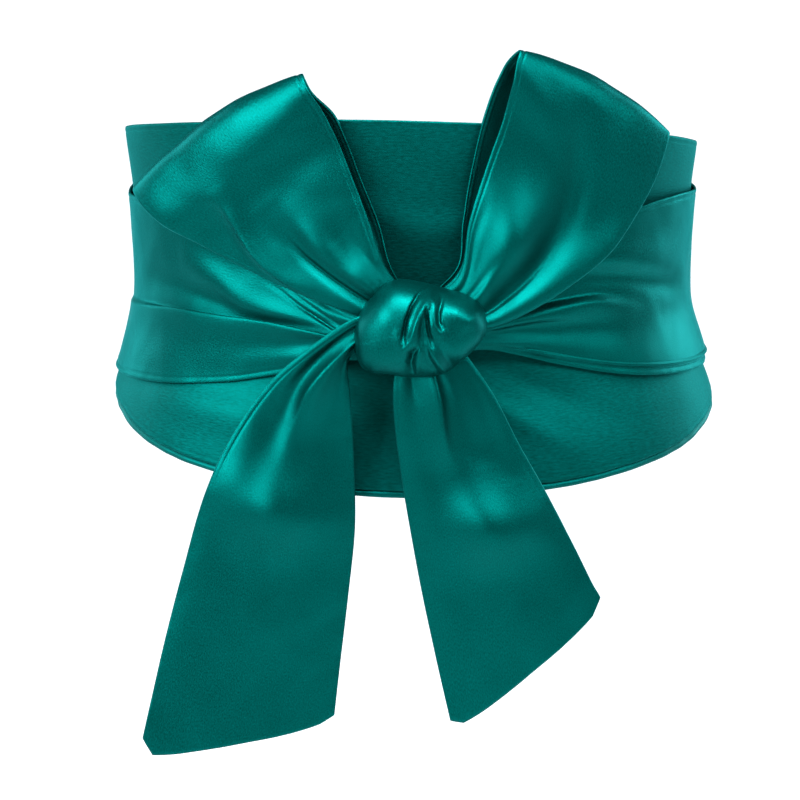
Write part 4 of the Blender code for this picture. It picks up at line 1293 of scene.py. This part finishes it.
# %% Loops and tails
# Columns: node, table, folds, side that its face turns to, depths of the seams at its left and right edges,
# seed, cells
RIBBONS = [
    ("left_loop", LEFT_LOOP, LEFT_LOOP_FOLDS + LEFT_LOOP_FINE, 1.0, (0.05, 0.3), 0.7, (90, 210)),
    ("right_loop", RIGHT_LOOP, RIGHT_LOOP_FOLDS + RIGHT_LOOP_FINE, 1.0, (0.3, 0.05), 2.9, (90, 220)),
    ("left_tail", LEFT_TAIL, LEFT_TAIL_FOLDS + LEFT_TAIL_FINE, -1.0, (0.3, 0.05), 1.6, (90, 190)),
    ("right_tail", RIGHT_TAIL, RIGHT_TAIL_FOLDS + RIGHT_TAIL_FINE, -1.0, (0.05, 0.05), 4.2, (90, 150)),
]
for node, table, folds, outside, seams, seed, cells in RIBBONS:
    corners = TAIL_CORNERS.get(node)
    place, flat, length = ribbon_place(table, folds, SWELLS[node], outside, corners, seams, seed)
    ribbon = make_cloth(node + "_cloth", cells, place, flat, CLOTH_WALL, -outside, tie_satin)
    finish_piece(ribbon, node)
    print(node, "is", round(length), "mm of tie")

# %% [markdown]
# ## The knot
# The knot is one tie's band wound tightly round the other, and it shows as a plump bundle with deep
# creases between its turns. It starts as a ball whose poles lie at its two mouths, is drawn into sections
# across the bow, and each crease is pressed in along its own line.

# %% Knot
# Columns: x, height of its middle, half height, half depth
KNOT_SECTIONS = [
    (-25.4, 3.0, 0.0, 0.0),
    (-24.4, 1.3, 6.6, 7.0),
    (-21.8, 0.4, 12.7, 12.5),
    (-15.8, 3.4, 17.8, 17.0),
    (-9.8, 5.6, 20.2, 19.0),
    (-3.8, 5.2, 20.9, 20.0),
    (1.8, 4.7, 20.6, 20.3),
    (7.4, 4.4, 19.6, 20.0),
    (13.0, 3.8, 18.6, 19.0),
    (20.7, 5.8, 14.9, 16.5),
    (25.4, 7.0, 11.8, 15.6),
    (28.9, 7.4, 8.3, 12.4),
    (31.3, 7.4, 3.8, 6.5),
    (32.0, 7.4, 0.0, 0.0),
]
KNOT_MIDDLE_Y = -117.0
KNOT_SQUARENESS = 2.25
KNOT_CELLS_ROUND = 260
KNOT_CELLS_ALONG = 180
# The sections are averaged over these steps along the knot, but not in its mouths
KNOT_AVERAGED = (-4.0, -2.0, 0.0, 2.0, 4.0)
KNOT_MOUTH = 8.0
KNOT_DENTS = 0.25
KNOT_CLOTH_RADIUS = 20.0
# Creases and ridges on the front, each a line down it.
# Columns: x, z, depth (minus for a ridge), half width on its left, half width on its right
KNOT_CREASES = [
    [
        (15.0, 27.0, 0.0, 1.6, 2.4),
        (7.3, 24.3, 1.0, 1.2, 1.4),
        (2.0, 21.6, 1.8, 0.8, 1.0),
        (-0.8, 17.5, 2.6, 0.6, 0.9),
        (-2.9, 12.1, 3.0, 0.6, 0.8),
        (-3.9, 6.8, 2.2, 0.7, 0.8),
        (-4.3, 3.4, 1.1, 1.0, 1.0),
        (-4.4, -0.4, 0.0, 1.4, 1.4),
    ],
    [
        (-6.8, 9.0, 0.0, 1.8, 1.6),
        (-6.2, 3.6, -0.8, 2.2, 1.8),
        (-3.7, 0.4, -1.3, 2.8, 1.8),
        (-0.9, 3.2, -1.8, 3.2, 1.6),
        (0.5, 8.0, -2.2, 3.6, 1.6),
        (2.5, 13.7, -2.3, 3.8, 1.6),
        (5.0, 18.0, -2.1, 3.6, 1.7),
        (7.6, 20.4, -1.7, 2.8, 1.8),
        (9.5, 18.6, -1.5, 2.2, 1.8),
        (9.0, 14.0, -1.4, 2.0, 1.7),
        (9.3, 10.0, -1.3, 2.0, 2.0),
        (11.4, 6.8, -0.9, 2.4, 2.2),
        (14.4, 6.0, 0.0, 2.2, 2.2),
    ],
    [
        (4.9, 17.0, 0.0, 1.0, 1.0),
        (4.6, 13.5, 1.4, 1.4, 1.0),
        (3.9, 8.5, 2.2, 1.8, 1.2),
        (3.9, 4.5, 1.4, 1.8, 1.4),
        (4.4, -1.0, 0.0, 1.8, 1.6),
    ],
    [
        (5.8, 18.8, 0.0, 0.6, 0.6),
        (5.8, 16.0, 2.0, 0.7, 0.6),
        (6.1, 12.0, 2.6, 0.7, 0.6),
        (6.8, 7.0, 2.2, 0.8, 0.6),
        (8.0, 3.0, 1.4, 0.8, 0.9),
        (8.8, 0.0, 0.0, 0.8, 1.0),
    ],
    [
        (14.4, 24.0, 0.0, 1.4, 1.4),
        (12.2, 19.6, 1.6, 1.2, 1.2),
        (11.0, 15.0, 2.6, 1.0, 0.9),
        (11.2, 11.0, 2.2, 1.0, 0.8),
        (13.0, 7.6, 0.0, 1.4, 1.0),
    ],
    [
        (2.4, 1.2, 0.0, 1.0, 0.6),
        (0.3, -3.0, 2.6, 2.2, 0.7),
        (-0.4, -7.0, 3.6, 2.6, 0.7),
        (0.1, -11.0, 3.2, 2.6, 0.9),
        (1.0, -14.5, 1.6, 2.6, 1.2),
    ],
    [
        (4.6, 3.4, 0.0, 1.2, 1.2),
        (2.4, -3.2, -1.3, 0.9, 1.5),
        (1.9, -8.6, -1.3, 1.0, 2.0),
        (3.4, -13.0, 0.0, 1.4, 2.0),
    ],
    [
        (5.4, 1.0, 0.0, 1.2, 0.9),
        (6.6, -4.4, 1.3, 1.8, 0.9),
        (9.0, -8.6, 2.0, 2.0, 0.9),
        (11.6, -12.5, 1.6, 1.6, 0.9),
    ],
    [
        (5.8, 4.0, 0.0, 1.2, 1.4),
        (7.8, -1.0, -1.3, 1.2, 1.6),
        (10.4, -6.0, -1.8, 1.2, 1.6),
        (13.2, -11.0, -2.2, 1.3, 1.4),
    ],
    [
        (10.0, 4.0, 0.0, 1.4, 2.4),
        (13.0, -2.4, 1.2, 1.3, 3.0),
        (16.0, -8.0, 2.4, 1.3, 3.0),
        (18.0, -11.5, 1.6, 1.3, 3.0),
    ],
    [
        (13.0, 17.0, 0.0, 4.0, 5.0),
        (19.0, 15.0, -1.6, 5.0, 6.0),
        (25.0, 12.0, -1.6, 5.0, 6.0),
        (29.0, 9.0, 0.0, 4.0, 5.0),
    ],
]


def crease_depth(x, z):
    """How deep the creases are here, where the nearest stretch of each one counts."""
    depth = np.zeros(x.shape)
    for crease in KNOT_CREASES:
        nearest = np.full(x.shape, np.inf)
        pressed = np.zeros(x.shape)
        for start, end in zip(crease, crease[1:]):
            run = (end[0] - start[0], end[1] - start[1])
            share = ((x - start[0]) * run[0] + (z - start[1]) * run[1]) / (run[0] ** 2 + run[1] ** 2)
            share = np.clip(share, 0.0, 1.0)
            away = np.hypot(x - start[0] - run[0] * share, z - start[1] - run[1] * share)
            deep, left, right = (start[index] + (end[index] - start[index]) * share for index in (2, 3, 4))
            on_right = run[0] * (z - start[1]) - run[1] * (x - start[0]) > 0.0
            pressed = np.where(away < nearest, deep * ridge(away, np.where(on_right, right, left)), pressed)
            nearest = np.minimum(away, nearest)
        depth += pressed
    return depth


def knot_section(x, index):
    """A size of the knot's section at x, averaged so that no row of the table shows as a step."""
    first, last = KNOT_SECTIONS[0][0], KNOT_SECTIONS[-1][0]
    inner = soft_rise(x, first, first + KNOT_MOUTH) * soft_rise(x, last, last - KNOT_MOUTH)
    places, sizes = column(KNOT_SECTIONS, 0), column(KNOT_SECTIONS, index)
    return sum(read_curve(places, sizes, x + inner * step) for step in KNOT_AVERAGED) / len(KNOT_AVERAGED)


def make_knot():
    ball = bmesh.new()
    bmesh.ops.create_uvsphere(
        ball, u_segments=KNOT_CELLS_ROUND, v_segments=KNOT_CELLS_ALONG, radius=1.0
    )
    ball.verts.index_update()
    round_points = np.array([vert.co[:] for vert in ball.verts])
    first, last = KNOT_SECTIONS[0][0], KNOT_SECTIONS[-1][0]
    # The ball's rows are spread between even turns and even steps
    share = np.arccos(np.clip(-round_points[:, 2], -1.0, 1.0)) / math.pi
    x = first + (last - first) * (0.5 * share + 0.25 - 0.25 * np.cos(math.pi * share))
    middle, high, deep = (knot_section(x, index) for index in (1, 2, 3))
    angle = np.arctan2(round_points[:, 1], round_points[:, 0])
    power = 2.0 / KNOT_SQUARENESS
    up = np.sign(np.sin(angle)) * np.abs(np.sin(angle)) ** power
    back = np.sign(np.cos(angle)) * np.abs(np.cos(angle)) ** power
    z = up * high + middle
    pressed = crease_depth(x, z) + KNOT_DENTS * unevenness(x * 2.0, z * 2.0, seed=3.0)
    y = back * deep + soft_rise(back, 0.0, -0.5) * pressed
    layer = ball.loops.layers.uv.new(CLOTH_MAP)
    for vert, point in zip(ball.verts, np.stack((x, y + KNOT_MIDDLE_Y, z), axis=-1) * MM):
        vert.co = point
    flat = np.stack((angle * KNOT_CLOTH_RADIUS, x), axis=-1) * MM
    for face in ball.faces:
        face.smooth = True
        for corner in face.loops:
            corner[layer].uv = flat[corner.vert.index]
    mesh = bpy.data.meshes.new("knot_cloth")
    ball.to_mesh(mesh)
    ball.free()
    mesh.materials.append(tie_satin)
    knot = bpy.data.objects.new("knot_cloth", mesh)
    bpy.context.scene.collection.objects.link(knot)
    print("knot has", 2 * len(mesh.polygons), "triangles")
    return knot


knot = make_knot()
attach(knot, "root")
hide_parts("knot")
